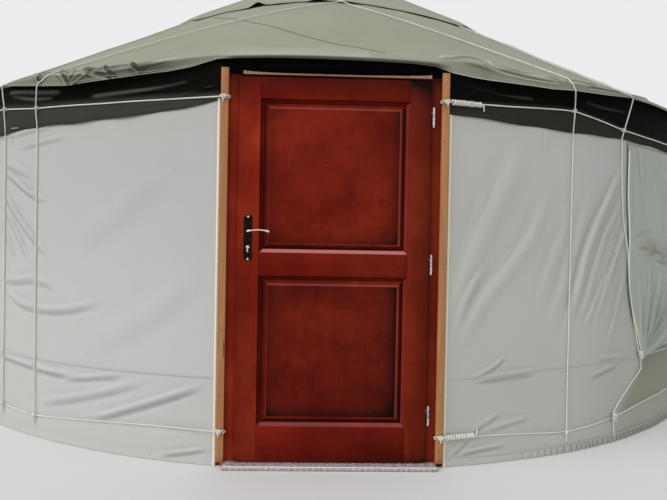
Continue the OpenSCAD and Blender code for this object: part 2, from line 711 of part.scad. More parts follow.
// The rope wound round itself, right of the door
module lashing(r, z) {
    start = polar(r, leave_az(r), z);
    edge = strip_edge(z);
    from_to(edge, start) translate([0, 0, lashing_out]) difference() {
        cylinder(d = lashing_d, h = min(lashing_l, norm(start - edge) - 2 * lashing_out));
        translate([0, 0, -past]) cylinder(d = rope_d + 2 * seat, h = lashing_l + 2 * past);
    }
}
module rope_lashings() color("ivory") {
    lashing(girth_up_r, girth_up);
    lashing(girth_low_r, girth_low);
}

jambs();
lintel();
sill();
threshold_plate();
jamb_strips();
head_lath();
head_flap();
hinge_frame_halves();
door_stiles();
door_rails();
door_panels();
hinge_leaf_halves();
lock_plates();
lock_cylinder();
door_lever();
wall_front_left();
wall_front_right();
wall_side_left();
wall_side_right();
wall_back_left();
wall_back_right();
wall_flap();
skirt_left();
skirt_right();
roof_left();
roof_right();
crown_cap();
crown_ring();
crown_spokes();
roof_poles_left();
roof_poles_right();
lattice_front_left();
lattice_side_left();
lattice_rear_left();
lattice_back_left();
lattice_back_right();
lattice_rear_right();
lattice_side_right();
lattice_front_right();
girth_rope_upper();
girth_rope_lower();
rope_lashings();
roof_rope_left();
roof_rope_right();
cap_ropes();
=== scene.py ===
import math
import random

import bmesh
import bpy
import numpy as np
from mathutils import Matrix, Vector


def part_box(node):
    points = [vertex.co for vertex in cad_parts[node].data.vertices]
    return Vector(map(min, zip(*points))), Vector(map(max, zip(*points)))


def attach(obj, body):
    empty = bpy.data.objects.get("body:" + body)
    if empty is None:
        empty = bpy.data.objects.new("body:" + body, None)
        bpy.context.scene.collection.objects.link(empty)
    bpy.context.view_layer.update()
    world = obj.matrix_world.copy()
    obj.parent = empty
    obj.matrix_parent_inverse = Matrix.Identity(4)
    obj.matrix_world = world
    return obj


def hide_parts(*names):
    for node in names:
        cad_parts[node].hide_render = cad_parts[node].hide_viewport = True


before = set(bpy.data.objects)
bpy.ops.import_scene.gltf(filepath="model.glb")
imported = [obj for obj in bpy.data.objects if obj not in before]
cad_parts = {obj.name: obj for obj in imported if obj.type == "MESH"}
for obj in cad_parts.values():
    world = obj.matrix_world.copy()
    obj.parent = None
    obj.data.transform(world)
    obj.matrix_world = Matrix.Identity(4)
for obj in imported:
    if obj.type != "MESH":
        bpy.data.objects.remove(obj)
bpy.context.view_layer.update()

# Everything is in metres. The origin is the middle of the wall's circle on the ground, with the door
# towards -Y. An azimuth is in degrees from the door, positive towards +X.


def ends(node):
    """The lowest and the highest corner of a CAD node."""
    return [np.array(corner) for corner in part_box(node)]


# the part's own sizes, read from its nodes where they show them
PITCH = math.radians(31)
SLOPE = math.tan(PITCH)
SKIN, ROPE_R = 0.004, 0.004
WALL_R = -ends("wall_side_left")[0][0]
EAVE_R = -ends("roof_left")[0][0]
EAVE_Z = ends("roof_left")[0][2] + SKIN / math.cos(PITCH)
SKIRT_R = WALL_R + 0.005
# The hole at the crown, and the six-sided cap over it with its domed top
HOLE_R = 0.6
CAP_APOTHEM, CAP_DOME_R, CAP_TURN = 1.58, 0.5, -1.5
# The least room between pieces that lie on each other
CLEAR = 0.0004
# Radii of the girth ropes, and of the ropes that cross over them
GIRTH_UP_R = SKIRT_R + ROPE_R + CLEAR
GIRTH_LOW_R = WALL_R + ROPE_R + CLEAR
OVER_UP_R = GIRTH_UP_R + 2 * ROPE_R + CLEAR
OVER_LOW_R = GIRTH_LOW_R + 2 * ROPE_R + CLEAR
# The frame round the door, with the pine strips on its jambs
FACE_Y, FRAME_X = ends("jambs")[0][1], ends("jambs")[1][0]
JAMB_W, STRIP_W = 0.0925, 0.034
JAMB_X = FRAME_X - JAMB_W
BATTEN_X = FRAME_X - STRIP_W
STRIP_LOW, STRIP_HIGH = ends("jamb_strips")
STRIP_FRONT = STRIP_LOW[1]
TIE_Y = STRIP_FRONT - CLEAR - ROPE_R
JAMB_AZ = math.degrees(math.asin((FRAME_X + CLEAR) / (WALL_R - SKIN)))
LINTEL_Z = ends("lintel")[0][2]
# The leaf: its front part laps over the frame, and its stiles and rails leave two openings
LEAF_LOW, LEAF_HIGH = ends("door_stiles")
LEAF_FRONT, LEAF_BACK, LEAF_X = LEAF_LOW[1], LEAF_HIGH[1], LEAF_HIGH[0]
LEAF_Z, LEAF_TOP = LEAF_LOW[2], LEAF_HIGH[2]
LIP_T, LIP_W = 0.016, 0.016
STILE_W, FOOT_RAIL_W, TOP_RAIL_W = 0.099, 0.163, 0.098
MID_RAIL_LOW, MID_RAIL_HIGH = 0.850, 0.956
OPEN_X = LEAF_X - STILE_W
LOW_OPEN = (LEAF_Z + FOOT_RAIL_W, LEAF_Z + MID_RAIL_LOW)
UP_OPEN = (LEAF_Z + MID_RAIL_HIGH, LEAF_TOP - TOP_RAIL_W)
# The lock and the hinges
LEVER_UP, HINGE_UP, HINGE_DOWN, HINGE_MID_UP = 1.05, 0.217, 0.166, 0.010
PLATE_LOW, PLATE_HIGH = ends("lock_plates")
LEVER_X = (PLATE_LOW[0] + PLATE_HIGH[0]) / 2
LEVER_Z = LEAF_Z + LEVER_UP
LOCK_Z = sum(ends("lock_cylinder"))[2] / 2
HINGE_Z = (LEAF_Z + HINGE_UP, (LEAF_Z + HINGE_UP + LEAF_TOP - HINGE_DOWN) / 2 + HINGE_MID_UP,
           LEAF_TOP - HINGE_DOWN)

# Lines measured in the photo, as azimuth and height: the girth ropes, and the skirt's lower edge
GIRTH_UP, GIRTH_LOW = (sum(ends("girth_rope_" + which))[2] / 2 for which in ("upper", "lower"))
ROPE_UP = [(-60, GIRTH_UP), (-36.7, 1.722), (-30.8, 1.693), (-22, 1.678), (-15.7, 1.678), (-10, 1.681),
           (13.3, 1.681), (18, 1.693), (23.1, 1.707), (26.8, 1.682), (30.6, 1.654), (34.9, 1.644),
           (40.4, 1.640), (60, GIRTH_UP)]
ROPE_LOW = [(-60, GIRTH_LOW), (-36.6, 0.130), (-35.5, 0.117), (-30.2, 0.110), (-21.6, 0.147), (-15.3, 0.161),
            (-10, 0.162), (10.1, 0.141), (13.8, 0.138), (17.8, 0.125), (23.4, 0.102), (26.6, 0.110),
            (30.1, 0.126), (35.5, 0.163), (43.1, 0.183), (60, GIRTH_LOW)]
SKIRT_LOW = [(-60, 1.600), (-36.8, 1.579), (-30.9, 1.595), (-25.1, 1.593), (-20.9, 1.601), (-16.8, 1.614),
             (-13.3, 1.635), (-11.4, 1.651), (-10.1, 1.667), (10.1, 1.630), (13.9, 1.616), (17.5, 1.605),
             (23.3, 1.597), (30.7, 1.605), (35.1, 1.602), (40.7, 1.597), (60, 1.605)]
# The roof's edge: azimuth, how far it is lifted, radius where it bends down, height of its lower edge
EAVE = [(-60, 0, 3.030, 1.806), (-40, 0, 3.020, 1.832), (-36.4, 0, 3.012, 1.835), (-34.6, 0, 3.022, 1.826),
        (-28.6, 0, 3.030, 1.790), (-25.1, 0, 3.030, 1.775), (-22.7, 0, 3.026, 1.779),
        (-17.7, 0, 3.014, 1.791), (-14.7, 0.005, 3.004, 1.799), (-12.7, 0.012, 3.002, 1.813),
        (-10.2, 0.018, 3.006, 1.846), (-6.1, 0.018, 3.006, 1.846), (0, 0.018, 3.006, 1.842),
        (6.5, 0.018, 3.006, 1.841), (8.6, 0.021, 3.004, 1.834), (10.1, 0.026, 2.998, 1.812),
        (12.3, 0.026, 2.994, 1.797), (13.6, 0.022, 2.996, 1.792), (15.0, 0.006, 3.020, 1.790),
        (17.1, 0, 3.036, 1.788), (19.7, 0, 3.038, 1.785), (22.6, 0, 3.038, 1.796), (26.9, 0, 3.036, 1.806),
        (30.7, 0, 3.034, 1.823), (39.3, 0, 3.032, 1.819), (60, 0, 3.030, 1.806)]


def plain(az):
    """The same azimuth between -180 and 180 degrees."""
    return (az + 180) % 360 - 180


def line_at(line, az, column=1):
    """A measured line's value at an azimuth. Past 60 degrees, where nothing is seen, it stays the same."""
    table = np.array(line, float)
    return np.interp(plain(np.asarray(az, float)), table[:, 0], table[:, column])


def cone_z(r):
    """Height of the roof's slope at a radius, where the eave isn't lifted."""
    return EAVE_Z + (EAVE_R - r) * SLOPE


def xyz(x, y, z):
    """Points from their coordinates, each an array or one number."""
    return np.stack(np.broadcast_arrays(x, y, z), axis=-1)


def polar(r, az, z):
    """Points by radius, azimuth and height."""
    a = np.radians(az)
    return xyz(r * np.sin(a), -r * np.cos(a), z + 0 * a)


def srgb(r, g, b):
    """A colour as it looks, 0 to 255, as linear numbers."""
    return tuple(((v / 255 + 0.055) / 1.055) ** 2.4 if v > 10 else v / 255 / 12.92 for v in (r, g, b))


def smooth(t):
    """0 up to 0, 1 from 1 on, and an even curve between them."""
    t = np.clip(t, 0, 1)
    return t * t * (3 - 2 * t)


def near(value, place, reach):
    """1 at a place, falling to 0 at a reach away from it."""
    return np.clip(1 - np.abs(value - place) / reach, 0, 1)


# camera and light
def place_camera():
    """The photo's camera, fitted to the door, the wall's foot, the ropes and the roof's outline."""
    place = Vector((-0.0708, -5.5302, 1.0316))
    yaw, pitch, roll, focal, width = -0.0280, -0.0135, 0.0181, 561.45, 667
    ahead = Vector((-math.sin(yaw) * math.cos(pitch), math.cos(yaw) * math.cos(pitch), math.sin(pitch)))
    side = Vector((math.cos(yaw), math.sin(yaw), 0))
    right = math.cos(roll) * side + math.sin(roll) * side.cross(ahead)
    up = right.cross(ahead)
    data = bpy.data.cameras.new("camera")
    data.sensor_width = 36
    data.lens = focal * data.sensor_width / width
    data.clip_start = 0.05
    data.clip_end = 200
    cam = bpy.data.objects.new("camera", data)
    cam.matrix_world = Matrix((
        (right.x, up.x, -ahead.x, place.x),
        (right.y, up.y, -ahead.y, place.y),
        (right.z, up.z, -ahead.z, place.z),
        (0, 0, 0, 1)))
    bpy.context.scene.collection.objects.link(cam)
    bpy.context.scene.camera = cam


def sun(name, place, strength, spread, color):
    """A broad light that shines from a place to the origin."""
    data = bpy.data.lights.new(name, "SUN")
    data.energy = strength
    data.angle = math.radians(spread)
    data.color = color
    obj = bpy.data.objects.new(name, data)
    obj.location = place
    obj.rotation_euler = (-Vector(place)).to_track_quat("-Z", "Y").to_euler()
    bpy.context.scene.collection.objects.link(obj)


def light_scene():
    """An overcast sky, brighter on the left, and a pale backdrop where the camera sees past the object."""
    bpy.context.scene.view_settings.view_transform = "Standard"
    world = bpy.data.worlds.new("studio")
    world.use_nodes = True
    tree = world.node_tree
    tree.nodes.clear()
    out = tree.nodes.new("ShaderNodeOutputWorld")
    sky, backdrop = (tree.nodes.new("ShaderNodeBackground") for _ in range(2))
    sky.inputs["Color"].default_value = (0.94, 0.97, 1.0, 1)
    sky.inputs["Strength"].default_value = 0.66
    backdrop.inputs["Color"].default_value = (0.83, 0.84, 0.85, 1)
    path = tree.nodes.new("ShaderNodeLightPath")
    seen = path.outputs["Is Camera Ray"]
    for ray in ("Is Glossy Ray", "Is Transmission Ray"):
        add = tree.nodes.new("ShaderNodeMath")
        add.use_clamp = True
        tree.links.new(seen, add.inputs[0])
        tree.links.new(path.outputs[ray], add.inputs[1])
        seen = add.outputs[0]
    mix = tree.nodes.new("ShaderNodeMixShader")
    tree.links.new(seen, mix.inputs["Fac"])
    tree.links.new(sky.outputs[0], mix.inputs[1])
    tree.links.new(backdrop.outputs[0], mix.inputs[2])
    tree.links.new(mix.outputs[0], out.inputs["Surface"])
    bpy.context.scene.world = world
    sun("sky_left", (-9, -6, 8), 1.55, 45, (1.0, 0.99, 0.97))
    sun("sky_front", (-1, -9, 6), 0.35, 70, (1.0, 1.0, 1.0))


place_camera()
light_scene()


# materials
class Shader:
    """A material's node tree, with short ways to add nodes and to link them."""

    def __init__(self, name, roughness, metallic=0.0, specular=0.5, **sockets):
        self.material = bpy.data.materials.new(name)
        self.material.use_nodes = True
        self.tree = self.material.node_tree
        self.bsdf = self.tree.nodes["Principled BSDF"]
        self.bsdf.inputs["Roughness"].default_value = roughness
        self.bsdf.inputs["Metallic"].default_value = metallic
        self.bsdf.inputs["Specular IOR Level"].default_value = specular
        for key, value in sockets.items():
            self.bsdf.inputs[key.replace("_", " ")].default_value = value

    def put(self, socket, value):
        """Links a socket to a node's output, or sets its value."""
        if isinstance(value, bpy.types.NodeSocket):
            self.tree.links.new(value, socket)
        elif hasattr(value, "__len__") and len(value) == 3 and len(socket.default_value) == 4:
            socket.default_value = (*value, 1)
        else:
            socket.default_value = value

    def node(self, kind, out=0, props=None, **inputs):
        """Adds a node and sets it up. An input's name, or i and its number, gives what it takes."""
        n = self.tree.nodes.new("ShaderNode" + kind)
        for key, value in (props or {}).items():
            setattr(n, key, value)
        for key, value in inputs.items():
            numbered = key[0] == "i" and key[1:].isdigit()
            self.put(n.inputs[int(key[1:]) if numbered else key.replace("_", " ")], value)
        return n.outputs[out]

    def place(self):
        return self.node("TexCoord", "Object")

    def scaled(self, vector, x, y, z):
        return self.node("Mapping", 0, None, Vector=vector, Scale=(x, y, z))

    def noise(self, vector, scale, detail=3.0, rough=0.55, warp=0.0):
        return self.node("TexNoise", "Fac", None, Vector=vector, Scale=scale, Detail=detail, Roughness=rough,
                         Distortion=warp)

    def ramp(self, value, low, high, to_low=0.0, to_high=1.0):
        """The value between low and high, spread to the range to_low to to_high."""
        return self.node("MapRange", 0, None, Value=value, From_Min=low, From_Max=high, To_Min=to_low,
                         To_Max=to_high)

    def math(self, operation, a, b=0.0):
        return self.node("Math", 0, {"operation": operation}, i0=a, i1=b)

    def mix(self, fac, a, b):
        n = self.tree.nodes.new("ShaderNodeMix")
        n.data_type = "RGBA"
        self.put(n.inputs["Factor"], fac)
        self.put(n.inputs[6], a)
        self.put(n.inputs[7], b)
        return n.outputs[2]

    def painted(self, name):
        return self.node("Attribute", "Fac", {"attribute_name": name})

    def bump(self, height, strength, distance, normal=None):
        inputs = {"Height": height, "Strength": strength, "Distance": distance}
        if normal is not None:
            inputs["Normal"] = normal
        return self.node("Bump", 0, None, **inputs)

    def finish(self, color, normal=None):
        self.put(self.bsdf.inputs["Base Color"], color)
        if normal is not None:
            self.tree.links.new(normal, self.bsdf.inputs["Normal"])
        return self.material


def canvas_material(name, base, dark, stain_and_highlight, blotch, specks, specular=0.2, sheen=0.04):
    """Woven canvas: weave, faint clouds, streaks, specks, and painted shade, stains and painted highlights on
    the mesh.
    """
    s = Shader(name, 0.88, specular=specular, Sheen_Weight=sheen, Sheen_Roughness=0.6)
    where = s.place()
    fine = s.noise(where, 26, 4, 0.6)
    streak = s.noise(s.scaled(where, 9, 9, 0.8), 1.0, 3, 0.6, 0.4)
    color = s.mix(s.ramp(s.noise(where, 1.3, 4, 0.6), 0.30, 0.75, 0, blotch), base, dark)
    color = s.mix(s.ramp(streak, 0.4, 0.9, 0, blotch * 0.7), color, dark)
    color = s.mix(s.ramp(fine, 0.45, 0.75, 0, 0.06), color, dark)
    color = s.mix(s.ramp(s.noise(where, 55, 1, 0.4), 0.765, 0.79, 0, specks), color, stain_and_highlight)
    # stains and dirt, and on the roof and the skirt painted highlights in their paler third colour
    color = s.mix(s.painted("dirt"), color, stain_and_highlight)
    # painted shade, towards a dark tint of the darker colour
    color = s.mix(s.painted("shade"), color, tuple(v * 0.12 for v in dark))
    uv = s.node("UVMap")
    warp = s.node("TexWave", "Fac", {"bands_direction": "X"}, Vector=uv, Scale=170.0, Distortion=0.6)
    weft = s.node("TexWave", "Fac", {"bands_direction": "Y"}, Vector=uv, Scale=170.0, Distortion=0.6)
    weave = s.bump(s.math("ADD", warp, weft), 0.25, 0.0006)
    return s.finish(color, s.bump(fine, 0.15, 0.003, s.bump(s.noise(where, 7, 3, 0.5), 0.25, 0.008, weave)))


def stained_material(name, light, dark, along, cloud=1.0):
    """Stained softwood: cloudy stain over faint grain, with painted shade and painted highlights from the
    mesh.
    """
    s = Shader(name, 0.42, specular=0.045)
    where = s.place()
    lie = {"X": (0.5, 6, 6), "Z": (6, 6, 0.5)}[along]
    grain = s.noise(s.scaled(where, *lie), 6.0, 4, 0.6, 0.8)
    fine = s.noise(s.scaled(where, *(v * 9 for v in lie)), 6.0, 2, 0.5)
    color = s.mix(s.ramp(s.noise(where, 3.2, 2, 0.5), 0.35, 0.66), dark, light)
    color = s.mix(s.ramp(s.noise(where, 13, 4, 0.6, 0.5), 0.45, 0.72, 0, 0.55 * cloud), color, dark)
    color = s.mix(s.ramp(grain, 0.50, 0.75, 0, 0.35), color, tuple(v * 0.6 for v in dark))
    color = s.mix(s.ramp(fine, 0.60, 0.75, 0, 0.15), color, tuple(v * 0.5 for v in dark))
    color = s.mix(s.ramp(s.noise(where, 42, 2, 0.5), 0.735, 0.78, 0, 0.45), color, srgb(150, 62, 40))
    # painted shade, near black
    color = s.mix(s.painted("shade"), color, srgb(17, 5, 4))
    # painted highlights, pale pink
    color = s.mix(s.painted("dirt"), color, srgb(190, 118, 112))
    return s.finish(color, s.bump(grain, 0.12, 0.0015, s.bump(fine, 0.15, 0.0005)))


def timber_material(name, light, dark, knots, along, roughness=0.5):
    """Planed clear timber: long wavy grain along one axis, pores, some knots, and painted shade."""
    s = Shader(name, roughness, specular=0.2)
    where = s.place()
    lie = {"X": (0.35, 7, 7), "Z": (7, 7, 0.35)}[along]
    rings = s.noise(s.scaled(where, *lie), 5.5, 5, 0.62, 1.6)
    pores = s.noise(s.scaled(where, *(v * 14 for v in lie)), 5.0, 2, 0.5)
    broad = s.noise(s.scaled(where, *(v * 0.35 for v in lie)), 3.0, 2, 0.5)
    color = s.mix(s.ramp(rings, 0.32, 0.70), dark, light)
    color = s.mix(s.ramp(broad, 0.35, 0.7, 0, 0.35), color, dark)
    color = s.mix(s.ramp(pores, 0.58, 0.72, 0, 0.30), color, tuple(v * 0.5 for v in dark))
    knot_place = s.scaled(where, *(2.2 if v > 1 else 0.9 for v in lie))
    cell = s.node("TexVoronoi", "Distance", None, Vector=knot_place, Scale=2.2)
    color = s.mix(s.ramp(cell, 0.02, 0.085, knots, 0), color, tuple(v * 0.35 for v in dark))
    color = s.mix(s.painted("shade"), color, tuple(v * 0.12 for v in dark))
    return s.finish(color, s.bump(rings, 0.18, 0.002, s.bump(pores, 0.2, 0.0006)))


def metal_material(name, color, wear_and_highlight, roughness, metallic, scale=60, share=(0.42, 0.68)):
    """Metal, or paint on metal, that is worn in spots, with painted shade and painted highlights from the
    mesh.
    """
    s = Shader(name, roughness, metallic=metallic, specular=0.4 if metallic else 0.05)
    where = s.place()
    mixed = s.mix(s.ramp(s.noise(where, scale, 4, 0.6), *share), color, wear_and_highlight)
    # painted highlight, a brighter tint of the colour
    mixed = s.mix(s.painted("dirt"), mixed, tuple(min(1.4 * v, 0.95) for v in color))
    # painted shade, towards a dark tint of the worn colour
    mixed = s.mix(s.painted("shade"), mixed, tuple(v * 0.1 for v in wear_and_highlight))
    return s.finish(mixed, s.bump(s.noise(where, scale * 6, 2, 0.5), 0.15, 0.0004))


def rope_material():
    """Laid rope: strands that wind round it, with fibres, darker in the grooves between the strands."""
    s = Shader("rope", 0.8, specular=0.2)
    uv = s.node("UVMap")
    around = s.node("SeparateXYZ", 0, None, Vector=uv)
    along = s.node("SeparateXYZ", 1, None, Vector=uv)
    turn = s.math("ADD", s.math("MULTIPLY", along, 45.0), around)
    strand = s.math("ABSOLUTE", s.math("SINE", s.math("MULTIPLY", turn, math.pi * 3)))
    where = s.place()
    color = s.mix(s.ramp(strand, 0.0, 0.5), srgb(168, 164, 152), srgb(226, 224, 216))
    color = s.mix(s.ramp(s.noise(where, 14, 3), 0.5, 0.75, 0, 0.35), color, srgb(160, 156, 140))
    return s.finish(color, s.bump(strand, 0.6, 0.0012, s.bump(s.noise(where, 900, 2), 0.2, 0.0004)))


def floor_material():
    """A pale studio floor, faintly clouded."""
    s = Shader("floor", 0.7, specular=0.2)
    cloud = s.ramp(s.noise(s.place(), 0.6, 3), 0.3, 0.7)
    return s.finish(s.mix(cloud, (0.70, 0.70, 0.69), (0.73, 0.73, 0.72)))


MAT = {}
# Canvas: colour, darker colour, stain or highlight colour, share of clouds and of specks, and where they
# differ shine and sheen
# On the roof and the skirt the third colour is paler, for painted highlights.
# The skirt's dark colour stands partly for painted shade under the eave; the head cloth's near black is
# painted shadow.
for name, base, dark, stain_and_highlight, *amounts in (
        ("wall_canvas", (188, 187, 185), (174, 174, 168), (142, 149, 104), 0.20, 0.4),
        ("flap_canvas", (174, 180, 172), (146, 152, 140), (122, 114, 84), 0.4, 0.4),
        ("edge_tape", (232, 226, 206), (206, 198, 172), (150, 140, 110), 0.4, 0.0),
        ("roof_canvas", (150, 151, 134), (132, 133, 114), (196, 198, 182), 0.4, 0.15, 0.12),
        ("skirt_canvas", (64, 64, 57), (48, 49, 42), (112, 113, 102), 0.5, 0.0, 0.04, 0.0),
        ("head_canvas_painted_shadow", (6, 6, 5), (8, 8, 7), (5, 5, 4), 0.5, 0.0, 0.03, 0.0)):
    MAT[name] = canvas_material(name, srgb(*base), srgb(*dark), srgb(*stain_and_highlight), *amounts)
# Stained timber: light and dark, the way of the grain, and how cloudy it is
# stained_z, on the stiles and jambs, is paler to stand for the light on the left ones; painted shade darkens
# the right ones.
for name, light, dark, *rest in (
        ("stained_z", (160, 55, 27), (124, 29, 11), "Z"),
        ("stained_x", (128, 32, 14), (98, 16, 6), "X"),
        ("stained_panel", (128, 35, 16), (90, 16, 7), "Z", 1.3)):
    MAT[name] = stained_material(name, srgb(*light), srgb(*dark), *rest)
# Clear timber: light and dark, how dark the knots are, the way of the grain, roughness
for name, light, dark, *rest in (
        ("pine", (180, 128, 84), (154, 102, 62), 0.6, "Z"),
        ("lath", (190, 160, 132), (146, 116, 92), 0.3, "X"),
        ("pole_wood", (196, 152, 104), (160, 116, 72), 0.4, "X", 0.55),
        ("lattice_wood", (188, 142, 94), (150, 106, 64), 0.4, "Z", 0.6)):
    MAT[name] = timber_material(name, srgb(*light), srgb(*dark), *rest)
# Metal: colour, worn colour, roughness, how metallic, size of the wear and its share
for name, *look in (
        ("threshold_metal", (0.80, 0.73, 0.74), (0.50, 0.45, 0.46), 0.42, 0.6),
        ("hinge_metal", (0.74, 0.70, 0.66), (0.10, 0.04, 0.03), 0.40, 0.7, 150, (0.50, 0.62)),
        ("black_iron", (0.006, 0.003, 0.001), (0.010, 0.006, 0.003), 0.42, 0.0),
        ("lever_metal", (0.80, 0.62, 0.56), (0.62, 0.46, 0.41), 0.30, 0.9),
        ("key_metal", (0.80, 0.74, 0.58), (0.56, 0.50, 0.36), 0.36, 0.8),
        ("nail_metal", (0.05, 0.04, 0.035), (0.03, 0.022, 0.02), 0.6, 0.3)):
    MAT[name] = metal_material(name, *look)
MAT["rope"] = rope_material()
MAT["floor"] = floor_material()


# meshes
class Build:
    """Collects faces with their UVs and painted values, and makes one object of them."""

    def __init__(self):
        self.points, self.faces, self.uvs, self.paint, self.mats, self.count = [], [], [], [], [], 0

    def add(self, points, faces, uv=None, shade=0.0, dirt=0.0, mat=0):
        """Adds faces by the numbers of their points, with painted values for all of them or for each."""
        points = np.asarray(points, float).reshape(-1, 3)
        n = len(points)
        self.points.append(points)
        self.uvs.append(np.zeros((n, 2)) if uv is None else np.asarray(uv, float).reshape(-1, 2))
        self.paint.append(np.stack([np.broadcast_to(np.ravel(v), n) for v in (shade, dirt)], axis=-1))
        self.faces += [[int(v) + self.count for v in f] for f in faces]
        self.mats += [mat] * len(faces)
        self.count += n

    def grid(self, points, uv=None, shade=0.0, dirt=0.0, mat=0, flip=False):
        """Adds the four-sided faces between rows and columns of points."""
        shape = points.shape[:2]
        i, j = np.meshgrid(np.arange(shape[0] - 1), np.arange(shape[1] - 1), indexing="ij")
        a = i * shape[1] + j
        faces = np.stack([a, a + 1, a + shape[1] + 1, a + shape[1]], axis=-1).reshape(-1, 4)
        self.add(points, faces[:, ::-1] if flip else faces, uv, np.broadcast_to(shade, shape),
                 np.broadcast_to(dirt, shape), mat)

    def object(self, name, materials, sharp=None):
        """The finished object. Edges sharper than an angle in degrees aren't shaded smooth."""
        mesh = bpy.data.meshes.new(name)
        mesh.from_pydata(np.concatenate(self.points).tolist(), [], self.faces)
        for m in materials:
            mesh.materials.append(MAT[m])
        mesh.polygons.foreach_set("material_index", self.mats)
        mesh.polygons.foreach_set("use_smooth", [True] * len(mesh.polygons))
        loops = np.zeros(len(mesh.loops), np.int32)
        mesh.loops.foreach_get("vertex_index", loops)
        mesh.uv_layers.new(name="UVMap").data.foreach_set("uv", np.concatenate(self.uvs)[loops].ravel())
        paint = np.concatenate(self.paint)
        # the second painted value holds stains and dirt, and also painted highlights
        for k, key in enumerate(("shade", "dirt")):
            mesh.attributes.new(key, "FLOAT", "POINT").data.foreach_set("value", np.clip(paint[:, k], 0, 1))
        mesh.update()
        if sharp is not None:
            mesh.set_sharp_from_angle(angle=math.radians(sharp))
        obj = bpy.data.objects.new(name, mesh)
        bpy.context.scene.collection.objects.link(obj)
        return obj


def keep(obj, body="root", replaces=()):
    """The piece rides on a body and stands for some CAD nodes, which it hides."""
    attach(obj, body)
    if replaces:
        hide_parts(*replaces)
    return obj


FINE = 1.0


def pairs(a, b):
    """Two grids of values: a changes from row to row and b from column to column."""
    return np.meshgrid(a, b, indexing="ij")


def spaced(parts):
    """Values in stretches of (start, end, step), each end once."""
    values = [np.linspace(a, b, max(2, int(abs(b - a) / step) + 1))[:-1] for a, b, step in parts]
    return np.append(np.concatenate(values), parts[-1][1])


# folds in cloth
def rounded(path):
    """The path with its corners cut off twice, so that a crease bends smoothly."""
    path = np.asarray(path, float)
    for _ in range(2):
        cuts = [share * a + (1 - share) * b for a, b in zip(path[:-1], path[1:]) for share in (0.75, 0.25)]
        path = np.array([path[0]] + cuts[1:-1] + [path[-1]])
    return path


def beside(x, z, path):
    """Distance from a path, positive on its left side, and how far along it the nearest place is, 0 to 1."""
    path = rounded(path)
    best = np.full(np.shape(x), 9.0)
    side = np.zeros(np.shape(x))
    how_far = np.zeros(np.shape(x))
    lengths = np.hypot(*np.diff(path, axis=0).T)
    done = 0.0
    for (ax, az), (bx, bz), length in zip(path[:-1], path[1:], lengths):
        ux, uz = (bx - ax) / length, (bz - az) / length
        t = np.clip((x - ax) * ux + (z - az) * uz, 0, length)
        dx, dz = x - ax - t * ux, z - az - t * uz
        gap = np.hypot(dx, dz)
        closer = gap < best
        best = np.where(closer, gap, best)
        side = np.where(closer, ux * dz - uz * dx, side)
        how_far = np.where(closer, (done + t) / lengths.sum(), how_far)
        done += length
    return np.where(side >= 0, best, -best), how_far


def fold(x, z, path, width, height, hollow=0.6, fade=0.3):
    """A rounded ridge along a path of points, with a hollow beside it, to the right of its direction."""
    signed, how_far = beside(x, z, path)
    ends_fade = smooth(how_far / fade) * smooth((1 - how_far) / fade)
    return height * ends_fade * (np.exp(-(signed / width) ** 2)
                                 - hollow * np.exp(-((signed + 1.5 * width) / (0.8 * width)) ** 2))


def lee(x, z, path, reach):
    """Shade beside a tuck, dark at its line and fading to its right."""
    away, how_far = beside(x, z, path)
    shade = np.where(away <= 0.001, np.exp(-np.abs(away) / reach), 0.0)
    return shade * smooth(how_far / 0.2) * smooth((1.02 - how_far) / 0.1)


def ripples(x, z, seed, waves):
    """Slack in the cloth, a sum of long waves. A row of them: (how many, shortest, longest, height, lean)."""
    rng = random.Random(seed)
    total = np.zeros(np.shape(x))
    for count, shortest, longest, height, lean in waves:
        for _ in range(count):
            length = rng.uniform(shortest, longest)
            angle = rng.gauss(lean, 0.35)
            phase = rng.uniform(0, 2 * math.pi)
            across = x * math.cos(angle) + z * math.sin(angle)
            bent = phase + 0.8 * np.sin(x * 2.1 + z * 1.7 + phase)
            total += height / count ** 0.5 * np.sin(2 * math.pi * across / length + bent)
    return total


def bends(relief, along, across):
    """How sharp a hollow and how sharp a ridge a relief has at each place, 0 to 1. Steps are in metres."""
    bend = sum(np.gradient(np.gradient(relief, step, axis=axis), step, axis=axis)
               for axis, step in enumerate((along, across)))
    return np.clip(bend / 45, 0, 1), np.clip(-bend / 45, 0, 1)


def metres(path, r=WALL_R):
    """A path's azimuths as distances along a circle of radius r, with its second values as they are."""
    return [(math.radians(a) * r, b) for a, b in path]


def turn_of(length):
    """The turn in degrees of a length along the wall."""
    return np.degrees(length / WALL_R)


# Where ropes go straight down the wall
ROPES_AT = (-150, -146, -90, -36.1, -30.4, 23.25, 90, 127, 150)
